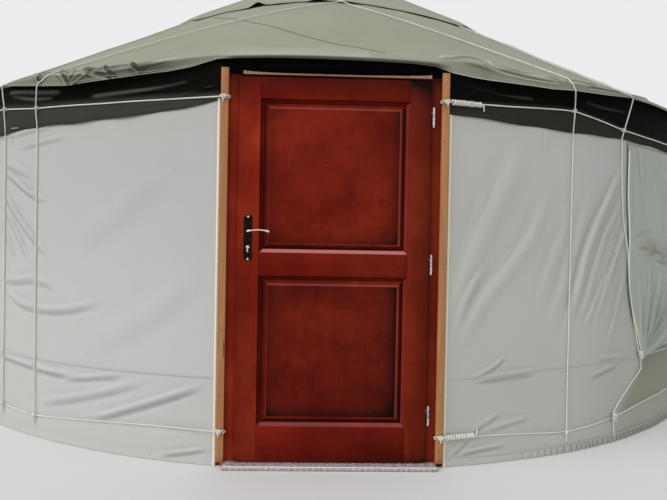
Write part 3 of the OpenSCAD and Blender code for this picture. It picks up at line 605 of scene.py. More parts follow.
# Folds seen in the photo: the path by azimuth and height, half width, height
WALL_FOLDS = [
    ([(-37, 1.41), (-34, 1.33), (-31.2, 1.25), (-28.5, 1.22)], 0.014, 0.0135),
    ([(-37, 1.45), (-34, 1.40), (-31, 1.35)], 0.017, 0.008),
    ([(-37, 1.31), (-33.5, 1.13), (-28.2, 0.92)], 0.0145, 0.015),
    ([(-37, 1.23), (-34, 1.07), (-31.4, 0.90)], 0.012, 0.012),
    ([(-37, 1.13), (-35, 0.99), (-34, 0.9)], 0.011, 0.0095),
    ([(-38, 0.82), (-34, 0.80), (-30.5, 0.83), (-26.5, 0.77)], 0.019, 0.011),
    ([(-36.5, 0.79), (-33.8, 0.69), (-29.5, 0.665), (-25.5, 0.68), (-21, 0.745)], 0.019, 0.013),
    ([(-39, 0.405), (-33, 0.375), (-28, 0.355), (-23.5, 0.36)], 0.017, 0.020),
    ([(-27, 0.325), (-23.2, 0.355), (-18.8, 0.39)], 0.0135, 0.011),
    ([(-31, 0.175), (-25.3, 0.24), (-21, 0.30), (-16, 0.385)], 0.019, 0.011),
    ([(-25, 0.135), (-22, 0.165), (-19.4, 0.215), (-14.8, 0.30), (-10.2, 0.39)], 0.017, 0.018),
    ([(-15.6, 0.03), (-13.2, 0.05), (-10, 0.088)], 0.012, 0.0095),
    ([(-35.5, 1.568), (-32.4, 1.585), (-30.7, 1.591), (-27.7, 1.591)], 0.010, 0.007),
    ([(-34, 1.50), (-30.7, 1.521), (-25.7, 1.539)], 0.012, 0.007),
    ([(-26, 1.0), (-20, 1.15), (-15, 1.4)], 0.06, 0.006),
    ([(-24, 0.5), (-17, 0.66), (-11, 0.92)], 0.055, 0.006),
    ([(18.2, 1.58), (16.3, 1.36), (14.0, 1.12), (11.2, 0.82), (10.2, 0.5)], 0.050, 0.011),
    ([(21.0, 1.35), (18.8, 1.07), (16.4, 0.92), (14.0, 0.79), (12.2, 0.64), (10.2, 0.47)], 0.034, 0.009),
    ([(14.0, 0.95), (12.0, 0.80), (10.4, 0.55)], 0.020, 0.009),
    ([(23.5, 1.2), (21.3, 0.97), (19.5, 0.73)], 0.030, 0.006),
    ([(26.5, 1.35), (24.5, 1.12), (22.4, 0.80), (20.6, 0.58)], 0.030, 0.007),
    ([(31.8, 1.52), (28.8, 1.30), (25.8, 1.06), (24.3, 0.80), (22.8, 0.56)], 0.024, 0.018),
    ([(32.2, 1.36), (29.2, 1.16), (27.9, 1.06), (25.9, 0.80), (24.8, 0.62)], 0.020, 0.010),
    ([(32.6, 1.24), (30.5, 1.01), (28.3, 0.80), (26.6, 0.60)], 0.020, 0.011),
    ([(29.4, 0.95), (26.6, 0.72), (25.2, 0.58)], 0.018, 0.007),
    ([(32.5, 1.0), (31.2, 0.8), (29.8, 0.6), (28.5, 0.48)], 0.020, 0.007),
    ([(12.3, 0.405), (14.6, 0.448), (16.3, 0.515)], 0.011, 0.009),
    ([(12.5, 0.40), (15.5, 0.412), (19.8, 0.425)], 0.014, 0.013),
    ([(26.2, 0.365), (28.5, 0.39), (31.5, 0.425)], 0.013, 0.010),
    ([(27.5, 0.46), (30, 0.45), (33, 0.44)], 0.012, 0.009),
    ([(10.2, 0.035), (11.8, 0.10), (13.8, 0.195)], 0.012, 0.009),
    ([(11.3, 0.055), (13.6, 0.075), (16.5, 0.085)], 0.011, 0.009),
    ([(13.8, 0.15), (16.4, 0.185), (19.2, 0.205)], 0.012, 0.009),
    ([(12.6, 0.16), (14.2, 0.20), (16.0, 0.25)], 0.013, 0.006),
]


def same_side(path, az):
    """Whether a path lies on the side of the door that these azimuths are on."""
    return (path[0][0] < 0) == (np.mean(az) < 0)


def side_folds(x, z, az):
    """Folds of the sides and the back, that the photo doesn't show: the same kinds, at other places."""
    sign = -1 if np.mean(az) < 0 else 1
    rng = random.Random(17 - 6 * sign)
    total = np.zeros(np.shape(x))
    for _ in range(26):
        a, top = sign * rng.uniform(44, 178), rng.uniform(0.7, 1.5)
        run, drop = rng.uniform(3, 7) * rng.choice([-1, 1]), rng.uniform(0.3, 0.8)
        path = [(a, top), (a + run * 0.4, top - drop * 0.45), (a + run, top - drop)]
        total += fold(x, z, metres(path), rng.uniform(0.016, 0.032), rng.uniform(0.008, 0.016))
    for _ in range(12):
        a, low = sign * rng.uniform(44, 178), rng.uniform(0.17, 0.36)
        path = [(a - 4, low), (a, low + 0.03), (a + 4, low + rng.uniform(-0.03, 0.08))]
        total += fold(x, z, metres(path), rng.uniform(0.014, 0.020), rng.uniform(0.008, 0.015))
    return total


def wall_relief(az, z):
    """How far the wall's cloth stands out of its cylinder."""
    x = np.radians(az) * WALL_R
    out = 0.0035 + ripples(x, z, 5, [(7, 0.5, 1.4, 0.0018, 0.2), (7, 0.16, 0.42, 0.0008, 0.5)])
    for path, width, height in WALL_FOLDS:
        if same_side(path, az):
            out = out + fold(x, z, metres(path), 1.05 * width, 0.78 * height, 0.5)
    far = smooth((np.abs(az) - 40) / 10)
    if np.any(far > 0):
        out = out + far * side_folds(x, z, az)
    # ropes press it in
    for rope_az in ROPES_AT:
        press = np.exp(-((az - rope_az) / 0.45) ** 2)
        out = out * (1 - press) + np.minimum(out, 0.0045) * press
    # the lower rope and the skirt hold the cloth in, and under the rope the hem stands off in small pleats
    held = np.exp(-((z - line_at(ROPE_LOW, az)) / 0.026) ** 2)
    out = out * (1 - 0.92 * held)
    out = np.minimum(out, 0.0036 + 0.5 * np.maximum(1.60 - z, 0))
    out = 0.0035 + (out - 0.0035) * (0.25 + 0.75 * smooth((np.abs(az) - JAMB_AZ) / 2.5))
    pleat = np.where(az > 0, smooth((az - 14) / 10), smooth((-az - 48) / 20))
    wave = np.sin(x / 0.0062 + 2.6 * np.sin(x * 9) + 1.5 * np.sin(x * 23))
    out = out + pleat * smooth((0.040 - z) / 0.02) * (0.0040 + 0.0036 * wave)
    out = out + 0.004 * smooth((0.05 - z) / 0.05)
    return np.clip(out, -0.0005, 0.021)


def wall_points(az, z, lift=0.0):
    """Places on the wall's cloth, or lifted off it."""
    return polar(WALL_R + wall_relief(az, z) + lift, az, z)


def ribbon(build, place, along, width, height, shade, mat=0, dirt=0.0, inner=0.3):
    """A sewn strip that lies on the cloth. place(s, t, lift) gives points at s along it and t across it."""
    across = np.array([-0.5, -0.42, 0.42, 0.5]) * width
    lift = np.array([0.0002, height, height, 0.0002])
    s, t = np.meshgrid(along, across, indexing="ij")
    # painted shade: full along its two edges, and the inner share of it on top
    dark = np.broadcast_to(np.array([1, inner, inner, 1]) * shade, s.shape)
    build.grid(place(s, t, np.broadcast_to(lift, s.shape)), np.stack([s * 0.05, t], axis=-1), dark, dirt, mat)


def flap_low(u):
    """Height of the overlap's lower edge. u is 0 at its free edge and 1 at the sewn one."""
    return 0.42 + 0.03 * smooth(u / 0.25) + 0.05 * u


def wall_paint(a, h, relief):
    """Painted shade in hollows, under the overlap and on the right; stain at the foot and top, and greener on
    the right.
    """
    along = np.radians(a) * WALL_R
    front = smooth((125 - np.abs(a)) / 60)
    right = np.where(a > 0, front, 0.0)
    dark = 0.24 * bends(relief, along[:, 0], h[0])[0] + 0.11 * right * smooth((a - 22) / 10)
    # painted shade higher up on the left
    dark = dark + 0.10 * np.where(a > 0, 0.0, front) * smooth(h - 0.5)
    # painted shade under the overlap's lower edge, weaker below the lower girth rope, and greener there
    under = flap_low(np.clip((a - 35) / 25, 0, 1)) - h
    shade_from = np.interp(h, (0.05, 0.18, 0.30, 0.41), (30.0, 30.6, 33.0, 34.8))
    in_lee = right * smooth((a - shade_from) / 2.6) * smooth((62 - a) / 3) * smooth(under / 0.02)
    in_lee = in_lee * (0.35 + 0.65 * smooth((h - line_at(ROPE_LOW, a)) / 0.03 + 0.5))
    dark = dark + in_lee * (0.20 + 0.30 * np.exp(-np.abs(under) / 0.08))
    # painted shade at the right foot
    dark = dark + 0.20 * right * smooth((0.045 - h) / 0.012) * smooth((a - 14) / 14)
    olive = 0.15 + 0.08 * np.sin(along * 2.3 + h * 3.1) * np.sin(h * 4.0 - along)
    dirt = 0.06 * smooth((0.10 - h) / 0.1) + 0.08 * smooth((h - 1.47) / 0.13) + right * olive + 0.40 * in_lee
    return dark, dirt


# Half the gap between sewn widths in degrees, and the height of the cloth laid flat
SEWN_GAP, CLOTH_H = 0.005, 1.9


def wall_sheet(place, parts, row, lattice, width):
    """One sewn width of the wall, with its seams. parts are stretches of azimuth, each with its step."""
    row = row * FINE
    low, high = parts[0][0] + SEWN_GAP, parts[-1][1] - SEWN_GAP
    az = spaced([(a, b, step * FINE) for a, b, step in parts])
    az[0], az[-1] = low, high
    z = spaced([(0.001, 0.09, row * 0.6), (0.09, 1.845, row)])
    a, h = pairs(az, z)
    relief = wall_relief(a, h)
    build = Build()
    build.grid(polar(WALL_R + relief, a, h), np.stack([np.radians(a) * WALL_R, h], axis=-1),
               *wall_paint(a, h, relief))

    def seam(height):
        return lambda s, t, lift: wall_points(s, height(s) + t, lift)

    ribbon(build, seam(lambda s: 0.402 + 0.028 * smooth((s - 5) / 20)), az, 0.010, 0.0014, 0.45)
    hemmed = az[np.where(az > 0, az > 9, az < -46)]
    if len(hemmed) > 1:
        ribbon(build, seam(lambda s: 0.040 - 0.006 * smooth((s - 10) / 4)), hemmed, 0.004, 0.001, 0.5)
    # a pale tape runs down the edges beside the door
    for edge, way in ((low, 1), (high, -1)):
        if abs(abs(edge) - JAMB_AZ) < 0.05:
            ribbon(build, lambda s, t, lift: wall_points(edge + way * (0.16 + turn_of(t)), s, lift + 0.001),
                   z[z < line_at(SKIRT_LOW, edge) + 0.01], 0.012, 0.002, 0.0, 1)
    obj = build.object("canvas_" + place, ["wall_canvas", "edge_tape"])
    keep(obj, replaces=["wall_" + place])


# Place, stretches of azimuth, step in height, lattice sections behind, flat width
for sewn_width in (
        ("front_left", [(-36, -JAMB_AZ, 0.13)], 0.008, ["front_left"], 1.38),
        ("front_right", [(JAMB_AZ, 30, 0.13)], 0.008, ["front_right"], 1.07),
        ("side_left", [(-92, -45, 0.26), (-45, -36, 0.14)], 0.012, ["side_left"], 2.96),
        ("side_right", [(30, 45, 0.14), (45, 92, 0.26)], 0.012, ["side_right"], 3.28),
        ("back_left", [(-180, -92, 0.4)], 0.02, ["back_left", "rear_left"], 4.64),
        ("back_right", [(92, 180, 0.4)], 0.02, ["back_right", "rear_right"], 4.64)):
    wall_sheet(*sewn_width)


# the wall's overlapping end
FLAP_CORNER = np.array([math.radians(35.0) * WALL_R, 0.42])
FLAP_TOP, FLAP_SEWN_AZ = 1.597, 59.8
# Folds that fan out of its corner: angle, length, half width, height
FLAP_FAN = [(92, 0.50, 0.020, 0.008), (76, 0.56, 0.022, 0.016), (61, 0.62, 0.026, 0.024),
            (47, 0.72, 0.028, 0.022), (33, 0.75, 0.024, 0.016), (18, 0.6, 0.020, 0.010)]
# Folds that hang from its top: azimuth, sideways run, height of the lower end, half width, height
FLAP_HANGING = [(34.0, 0.06, 1.36, 0.018, 0.009), (37.8, 0.10, 1.28, 0.026, 0.008),
                (42.5, -0.05, 1.22, 0.030, 0.008), (49.0, 0.08, 1.1, 0.03, 0.009)]
# Creases across it: the path by azimuth and height, and how high they stand
FLAP_CREASES = [([(33.3, 1.050), (35.5, 1.030), (38.5, 1.020), (44, 0.985)], -0.016),
                ([(37.5, 0.985), (40.5, 0.965), (44, 0.94), (49, 0.95)], 0.012),
                ([(33.0, 1.10), (35.0, 1.135), (37.5, 1.15)], 0.007)]


def flap_edge(z):
    """Azimuth of the overlap's free edge at a height."""
    return 31.7 + 0.5 * smooth((1.35 - z) / 0.3) + 3.0 * smooth((0.95 - z) / 0.56) ** 1.5


def from_corner(angle, *reaches):
    """Places at some distances from the overlap's corner, all in one direction."""
    way = np.array([math.cos(math.radians(angle)), math.sin(math.radians(angle))])
    return [FLAP_CORNER + reach * way for reach in reaches]


def flap_relief(u, v, az, z):
    """How far the overlap stands out of the wall's cylinder."""
    x = np.radians(az) * WALL_R
    out = ripples(x, z, 31, [(6, 0.3, 0.8, 0.003, 0.1), (6, 0.1, 0.25, 0.0012, 0.2)])
    for angle, length, width, height in FLAP_FAN:
        path = from_corner(angle, 0.03, 0.5 * length, length)
        path[1] = path[1] + (0.02, -0.015)
        out = out + fold(x, z, path, width, height)
    for top_az, run, end, width, height in FLAP_HANGING:
        top = math.radians(top_az) * WALL_R
        out = out + fold(x, z, [(top, 1.6), (top + 0.4 * run, 1.48), (top + run, end)], width, height)
    for path, height in FLAP_CREASES:
        out = out + fold(x, z, metres(path), 0.013, height)
    out = np.clip(out * smooth(u / 0.02) * (1 - 0.85 * smooth((u - 0.8) / 0.2)), -0.002, 0.026)
    out = out + 0.0055 + 0.006 * smooth(1 - u / 0.05) + 0.008 * smooth(1 - v / 0.08)
    # it lies outside the wall's cloth, and its top goes flat under the skirt
    out = np.maximum(out, wall_relief(az, z) + 0.0015)
    return np.where(z > 1.54, np.minimum(out, 0.0046 + 0.25 * np.maximum(1.59 - z, 0)), out)


def flap_paint(x, z, out):
    """Painted shade in the overlap's hollows, beside its fan, in its crease and along its top, and the stain
    over the crease.
    """
    dark = 0.26 * bends(out, 0.0065 * FINE, 0.0098 * FINE)[0] + 0.5 * near(z, 1.588, 0.010)
    for angle, reach in ((76, 0.012), (61, 0.022), (47, 0.040), (33, 0.020)):
        dark = dark + 0.24 * lee(x, z, from_corner(angle, 0.05, 0.55), reach)
    crease = 1.035 - 0.06 * (x - 1.80) / 0.4 + 0.012 * np.sin(x * 41)
    line = 0.40 * np.exp(-((z - crease) / 0.009) ** 2)
    dark = dark + line * smooth((x - 1.76) / 0.12) * smooth((2.45 - x) / 0.45)
    stain_and_highlight = np.exp(-((z - crease - 0.035) / 0.045) ** 2) * smooth((x - 1.78) / 0.16)
    stain_and_highlight = stain_and_highlight * smooth((2.45 - x) / 0.5) * (0.7 + 0.3 * np.sin(x * 31 + 4 * np.sin(z * 19)))
    return dark, 0.10 + 0.42 * stain_and_highlight


def add_flap():
    """The wall's end, that overlaps the right side width and hangs free at its corner."""
    u, v = pairs(np.linspace(0, 1, int(230 / FINE)), np.linspace(0, 1, int(120 / FINE)))
    low = flap_low(u)
    z = low + (FLAP_TOP - low) * v
    az = flap_edge(z) + (FLAP_SEWN_AZ - flap_edge(z)) * u
    x = np.radians(az) * WALL_R
    out = flap_relief(u, v, az, z)
    build = Build()
    build.grid(polar(WALL_R + out, az, z), np.stack([x, z], axis=-1), *flap_paint(x, z, out))
    ribbon(build, lambda s, t, lift: polar(WALL_R + 0.0125 + lift, flap_edge(s) + 0.12 + turn_of(t), s),
           np.linspace(0.43, 1.55, 90), 0.009, 0.003, 0.0, 1)
    obj = build.object("canvas_overlap", ["flap_canvas", "edge_tape"])
    keep(obj, replaces=["wall_flap"])


add_flap()


# roof
# The bend of its edge: radius, how steeply the hem hangs below it, and length
BEND_R, HANG, BEND_LENGTH = 0.02, math.radians(72), 0.0143
# How steeply the camera looks up at the hem, and the radius where its heights were measured
SEEN, SEEN_R = 0.3, 3.03
# The circle on which the roof's edge and the skirt are laid out flat
FLAT_R = 3.0
# Folds of the roof's edge: azimuth and distance down the slope, half width, height
EAVE_FOLDS = [
    ([(-36, 2.90), (-31.9, 2.925), (-27.2, 3.002), (-22.8, 3.025), (-18.5, 3.02), (-15.6, 3.01),
      (-13.3, 2.961)], 0.010, 0.008),
    ([(-31.8, 2.93), (-31.0, 2.96), (-29.6, 3.03), (-28.7, 3.08)], 0.011, 0.010),
    ([(-27.4, 2.98), (-26.2, 3.02), (-25.2, 3.08)], 0.010, 0.009),
    ([(-24.9, 2.99), (-25.0, 3.03), (-25.2, 3.08)], 0.006, 0.006),
    ([(-22.9, 3.00), (-23.7, 3.04), (-24.9, 3.09)], 0.010, 0.008),
    ([(-23.8, 3.01), (-22.2, 3.04), (-20.2, 3.085)], 0.011, 0.009),
    ([(-21.6, 3.00), (-20.8, 3.04), (-19.8, 3.08)], 0.009, 0.007),
    ([(-18.8, 2.99), (-18.2, 3.03), (-17.3, 3.075)], 0.012, 0.008),
    ([(8.9, 2.96), (10.2, 2.972), (11.4, 2.929), (13.0, 2.904), (13.9, 2.925), (14.5, 2.993)], 0.011, 0.010),
    ([(11, 3.00), (13.5, 3.02), (17, 3.035), (21, 3.04)], 0.009, 0.008),
    ([(13.5, 2.955), (17.5, 3.0), (21, 3.03)], 0.014, 0.008),
    ([(21.5, 3.02), (23.5, 2.995), (27, 2.98)], 0.014, 0.008),
    ([(24, 3.045), (27, 3.035), (30, 3.045)], 0.010, 0.008),
    ([(30.5, 3.05), (33, 3.0), (37, 2.97)], 0.014, 0.010),
]


def roof_relief(az, run):
    """How far the roof's cloth stands off its slope. run is the distance down the slope, as a radius."""
    x = np.radians(az) * run
    poles = 0.5 - 0.5 * np.cos(np.radians(az) * 42)
    out = -0.0035 * poles * smooth((run - 0.65) / 0.6) * smooth((2.99 - run) / 0.25)
    out = out + ripples(x, run, 17, [(7, 0.5, 1.5, 0.0028, 1.2), (6, 0.15, 0.4, 0.0009, 1.2)])
    edge = smooth((run - 2.72) / 0.2)
    if np.any(edge > 0):
        x = np.radians(az) * FLAT_R
        total = np.zeros(np.shape(x))
        for path, width, height in EAVE_FOLDS:
            if same_side(path, az):
                total += fold(x, run, metres(path, FLAT_R), width, height, 0.5, 0.12)
        rng = random.Random(7)
        for _ in range(44):
            a = rng.uniform(42, 318)
            a = a if a < 180 else a - 360
            turn, climb = math.radians(rng.uniform(1.5, 3.5)) * FLAT_R, rng.uniform(0.08, 0.14)
            start = math.radians(a) * FLAT_R
            path = [(start, 3.07), (start + 0.5 * turn, 3.05 - 0.5 * climb), (start + turn, 3.05 - climb)]
            total += fold(x, run, path, rng.uniform(0.014, 0.022), rng.uniform(0.006, 0.011))
        out = out + edge * total
    return np.clip(out, -0.0045, 0.014)


def eave(az):
    """Of the roof's edge at an azimuth: how far it is lifted, its bend's radius, and the hem's length."""
    raised, bend, hem = (line_at(EAVE, az, k) for k in (1, 2, 3))
    r1 = bend + BEND_R * (math.sin(HANG) - math.sin(PITCH))
    z1 = cone_z(bend) + raised - BEND_R * (math.cos(PITCH) - math.cos(HANG))
    length = (z1 - hem + SEEN * (r1 - SEEN_R)) / (math.sin(HANG) - SEEN * math.cos(HANG))
    return raised, bend, np.maximum(length, 0.003)


def roof_points(az, u, lift=0.0):
    """u is -1 at the crown, 0 where the cloth bends down and 1 at the hem."""
    az, u = np.broadcast_arrays(np.asarray(az, float), np.asarray(u, float))
    raised, bend, length = eave(az)
    r = HOLE_R + (bend - HOLE_R) * (1 + np.minimum(u, 0))
    s = np.maximum(u, 0) * (BEND_R * (HANG - PITCH) + length)
    angle = PITCH + np.minimum(s / BEND_R, HANG - PITCH)
    straight = s - BEND_R * (angle - PITCH)
    z = cone_z(r) + raised * smooth((r - 2.70) / 0.25)
    out = roof_relief(az, r + s) + lift
    around = r + BEND_R * (np.sin(angle) - math.sin(PITCH)) + straight * math.cos(HANG)
    height = z - BEND_R * (math.cos(PITCH) - np.cos(angle)) - straight * math.sin(HANG)
    return polar(around + out * np.sin(angle), az, height + out * np.cos(angle))


def on_roof(az, r, lift=0.0):
    """Places on the roof by their radius, up to where it bends down."""
    bend = line_at(EAVE, az, 2)
    return roof_points(az, (r - HOLE_R) / (bend - HOLE_R) - 1, lift)


# The crosswise seam in front, through places measured in the photo as azimuth and radius
SEAM = np.polyfit([-23.8, -13.5, -4.3, -0.3, 3.8], [1.898, 2.168, 2.513, 2.738, 2.910], 3)


def roof_paint(a, u, run, relief):
    """Painted shade on the hanging hem, in tucks and hollows; painted highlights on ridges, the hem's edge
    and the crest over the door.
    """
    hollow, ridge = (v * (run > 2.85) for v in bends(relief, 0.0075 * FINE, 0.006 * FINE))
    hem = smooth(u / 0.25) * smooth((1 - u) / 0.08)
    door = smooth((10.5 - np.abs(a)) / 2)
    wedge = near(a, -15.5, 5.5) ** 0.5
    right = (a > 0) * smooth((np.abs(a) - 15) / 3)
    dark = hem * (0.22 + 0.45 * wedge + 0.22 * near(a, 13.5, 3.5) + 0.12 * right) * (1 - door)
    dark = dark + door * 0.9 * smooth((u - 0.30) / 0.4) + 0.40 * hollow
    for (path, _, _), reach in zip(EAVE_FOLDS[1:8], (0.040, 0.030, 0.018, 0.090, 0.050, 0.014, 0.060)):
        if same_side(path, a):
            dark = dark + 0.46 * lee(np.radians(a) * FLAT_R, run, metres(path, FLAT_R), reach)
    long_fold = np.array(EAVE_FOLDS[0][0])
    crease = np.interp(a, long_fold[:, 0], long_fold[:, 1])
    dark = dark + 0.24 * smooth((run - crease - 0.004) / 0.012) * smooth((a + 36) / 4) * smooth((-13 - a) / 4)
    light = 0.55 * ridge + (1 - door) * 0.45 * smooth((u - 0.93) / 0.03)
    return dark, light + door * 0.55 * near(u, 0.12, 0.2) * (a < 3)


def roof_sheet(side, parts, seam):
    """Half of the roof's canvas. seam is the stretch of azimuth that the crosswise seam takes on it."""
    az = spaced([(a, b, step * FINE) for a, b, step in parts])
    r_bend = 3.0
    radii = spaced([(HOLE_R + 0.002, 1.5, 0.06 * FINE), (1.5, 2.65, 0.03 * FINE), (2.65, 2.88, 0.013 * FINE),
                    (2.88, r_bend, 0.007 * FINE)])
    slope = (radii - HOLE_R) / (r_bend - HOLE_R) - 1
    a, u = pairs(az, np.concatenate([slope, np.linspace(0, 1, int(22 / FINE))[1:]]))
    run = HOLE_R + 2.4 * (1 + np.minimum(u, 0)) + 0.08 * np.maximum(u, 0)
    build = Build()
    build.grid(roof_points(a, u), np.stack([np.radians(a) * run, run / math.cos(PITCH)], axis=-1),
               *roof_paint(a, u, run, roof_relief(a, run)))
    ribbon(build, lambda s, t, lift: on_roof(s, np.polyval(SEAM, s) + t, lift), np.linspace(*seam, 140),
           0.0075, 0.0014, 1.0, inner=0.8)
    ribbon(build, lambda s, t, lift: roof_points(s, 0.80 + t / (BEND_LENGTH + eave(s)[2]), lift),
           az[np.abs(az) > 11], 0.003, 0.0006, 0.3)
    obj = build.object("canvas_roof_" + side, ["roof_canvas"])
    keep(obj, replaces=["roof_" + side])


roof_sheet("left", [(-180, -60, 1.0), (-60, -37, 0.4), (-37, -11, 0.10), (-11, 0, 0.25)], (-25.5, -0.005))
roof_sheet("right", [(0, 8, 0.25), (8, 36, 0.14), (36, 60, 0.4), (60, 180, 1.0)], (0.005, 4.4))


# crown cap
# Azimuths where a roof rope goes under the cap's hem
ROPE_UNDER_CAP = (-3.0, 3.1, 102.0, -127.0)


def cap_points(az, q, lift=0.0):
    """q is 0 at the top and 1 at the hem, which follows the six straight sides."""
    side = np.mod(az - CAP_TURN + 30, 60) - 30
    r = CAP_APOTHEM / np.cos(np.radians(side)) * q
    inner = 0.024
    hem = 0.0075 + sum(0.006 * np.exp(-(plain(az - a) / 2.4) ** 2) for a in ROPE_UNDER_CAP)
    gape = sum(rise * np.exp(-((az - a) / wide) ** 2)
               for a, wide, rise in ((-18.5, 1.3, 0.024), (-4.0, 1.8, 0.012)))
    over = hem + gape + (inner - hem - gape) * smooth((1 - q) / 0.06)
    up = over / math.cos(PITCH)
    ball = CAP_DOME_R / math.sin(PITCH)
    middle = cone_z(CAP_DOME_R) + inner / math.cos(PITCH) - ball * math.cos(PITCH)
    dome = middle + np.sqrt(np.maximum(ball ** 2 - r ** 2, 0.01))
    z = np.where(r < CAP_DOME_R, dome, cone_z(r) + up)
    x = np.radians(az) * r
    edge = smooth((q - 0.9) / 0.1)
    wave = 0.0016 * np.sin(x * 9 + 1.2 * np.sin(x * 3)) * edge
    wave = wave + 0.002 * np.sin(np.radians(az) * 24 + q * 5) * q * (1 - edge)
    sag = -0.005 * np.cos(np.radians(side) * 3) * smooth((q - 0.3) / 0.6) * (1 - edge)
    out = wave + sag + np.maximum(roof_relief(az, np.maximum(r, 1.0)), -0.002) * edge + lift
    return polar(r + out * math.sin(PITCH), az, z + out * math.cos(PITCH))


def gore_seam(mid):
    """Places beside a seam that runs from the top of the cap to its hem."""
    return lambda s, t, lift: cap_points(mid + np.degrees(t / np.maximum(s * CAP_APOTHEM, 0.05)), s, lift)


def add_cap():
    """The six-sided cap over the crown, with a seam on each corner and halfway between them."""
    az = np.linspace(-180, 180, int(540 / FINE) + 1)
    q = spaced([(0.008, 0.5, 0.05 * FINE), (0.5, 0.93, 0.02 * FINE), (0.93, 1.0, 0.006 * FINE)])
    a, qq = pairs(az, q)
    x = np.radians(a) * qq * CAP_APOTHEM
    build = Build()
    # painted shade at the very edge of the hem, and paler towards the hem
    build.grid(cap_points(a, qq), np.stack([x, qq * 1.84], axis=-1), 0.15 * smooth((qq - 0.99) / 0.01),
               0.12 * smooth((qq - 0.9) / 0.1))
    # the hem turns in, so that its edge throws a line of shade, and the turned-in strip has painted shade
    a, qq = pairs(az, (1.0, 0.998, 0.985))
    drop = np.broadcast_to(np.array([0.0, -0.0045, -0.0045]), a.shape)
    build.grid(cap_points(a, qq, drop), np.stack([np.radians(a) * CAP_APOTHEM, qq], axis=-1), 0.85, 0.0,
               flip=True)
    for k in range(12):
        ribbon(build, gore_seam(plain(CAP_TURN + 30 * k)), np.linspace(0.06, 0.995, 60), 0.012, 0.0016, 0.5)
    ribbon(build, lambda s, t, lift: cap_points(s, 0.982 + t / CAP_APOTHEM, lift), az, 0.004, 0.0008, 0.4)
    obj = build.object("canvas_cap", ["roof_canvas"])
    keep(obj, replaces=["crown_cap"])


add_cap()


# skirt under the eave
SKIRT_TOP, SKIRT_H = 1.838, 0.22
# Folds seen in the photo: the path by azimuth and height, half width, height
SKIRT_FOLDS = [
    ([(-36, 1.800), (-33.9, 1.798), (-30, 1.769), (-26.3, 1.754)], 0.014, 0.013),
    ([(-35.5, 1.776), (-33.9, 1.772), (-30.8, 1.742), (-27.1, 1.733)], 0.012, 0.013),
    ([(-35, 1.752), (-33.3, 1.747), (-29.2, 1.719), (-27.1, 1.713)], 0.010, 0.011),
    ([(-24, 1.712), (-22.1, 1.715), (-16.7, 1.726), (-11.9, 1.761)], 0.014, 0.010),
    ([(-14.2, 1.688), (-12.2, 1.708), (-10.1, 1.742)], 0.009, 0.009),
    ([(-19, 1.655), (-15.5, 1.668), (-11.5, 1.672)], 0.009, 0.006),
    ([(11, 1.765), (14.5, 1.742), (19, 1.73)], 0.012, 0.007),
    ([(11.5, 1.735), (16, 1.722), (21, 1.75)], 0.012, 0.006),
    ([(24, 1.76), (28, 1.74), (32, 1.755)], 0.012, 0.007),
]


def skirt_points(az, v, lift=0.0):
    """v is 0 at the lower edge and 1 under the roof."""
    low = line_at(SKIRT_LOW, az) + 0.002 * np.sin(np.radians(az) * 61)
    z = low + (SKIRT_TOP + line_at(EAVE, az) - low) * v
    rope = line_at(ROPE_UP, az)
    x = np.radians(az) * FLAT_R
    out = 0.001 + ripples(x, z * 3, 41, [(8, 0.2, 0.6, 0.0016, 1.3)])
    for path, width, height in SKIRT_FOLDS:
        if same_side(path, az):
            out = out + fold(x, z, metres(path), width, height, 0.6, 0.15)
    rng = random.Random(3)
    for _ in range(40):
        a = rng.uniform(38, 322)
        a = a if a < 180 else a - 360
        start = rng.uniform(1.72, 1.77)
        path = [(a, start), (a + rng.uniform(2, 4), start + rng.uniform(-0.02, 0.02)),
                (a + 7, start + rng.uniform(-0.01, 0.03))]
        out = out + fold(x, z, metres(path), 0.011, rng.uniform(0.005, 0.009))
    # the upper girth rope holds it in, and below the rope it stands off in waves
    out = out * (1 - 0.95 * np.exp(-((z - rope) / 0.013) ** 2)) * smooth(np.abs(az) - JAMB_AZ)
    out = out * smooth((SKIRT_TOP - z) / 0.03)
    below = smooth((rope - 0.012 - z) / 0.06)
    out = out + below * (0.004 + 0.0022 * np.sin(x * 19 + 1.5 * np.sin(x * 5)))
    return polar(SKIRT_R + np.clip(out, -0.0003, 0.016) + lift, az, z)


def skirt_sheet(side, parts):
    """Half of the skirt, with painted shade over the girth rope, on its right half and at its lower edge, and
    painted highlights on the left folds.
    """
    az = spaced([(a, b, step * FINE) for a, b, step in parts])
    a, v = pairs(az, np.linspace(0, 1, int(34 / FINE)))
    points = skirt_points(a, v)
    relief = np.linalg.norm(points[..., :2], axis=-1) - SKIRT_R
    proud = smooth((relief - 0.0045) / 0.007) * (v > 0.35)
    above = smooth((points[..., 2] - line_at(ROPE_UP, a) - 0.002) / 0.035)
    dark = np.where(a > 0, 0.45, 0.06) + above * (1.0 - 0.12 * smooth((-26 - a) / 5))
    dark = dark + 0.3 * smooth((0.03 - v) / 0.03)
    build = Build()
    build.grid(points, np.stack([np.radians(a) * FLAT_R, v * SKIRT_H], axis=-1), dark * (1 - 0.8 * proud),
               0.30 * proud * (a < 0))
    ribbon(build, lambda s, t, lift: skirt_points(s, 0.05 + t / SKIRT_H, lift), az, 0.004, 0.001, 0.6)
    obj = build.object("canvas_skirt_" + side, ["skirt_canvas"])
    keep(obj, replaces=["skirt_" + side])


skirt_sheet("left", [(-180, -60, 0.6), (-60, -40, 0.3), (-40, -JAMB_AZ, 0.14)])
skirt_sheet("right", [(JAMB_AZ, 40, 0.14), (40, 60, 0.3), (60, 180, 0.6)])


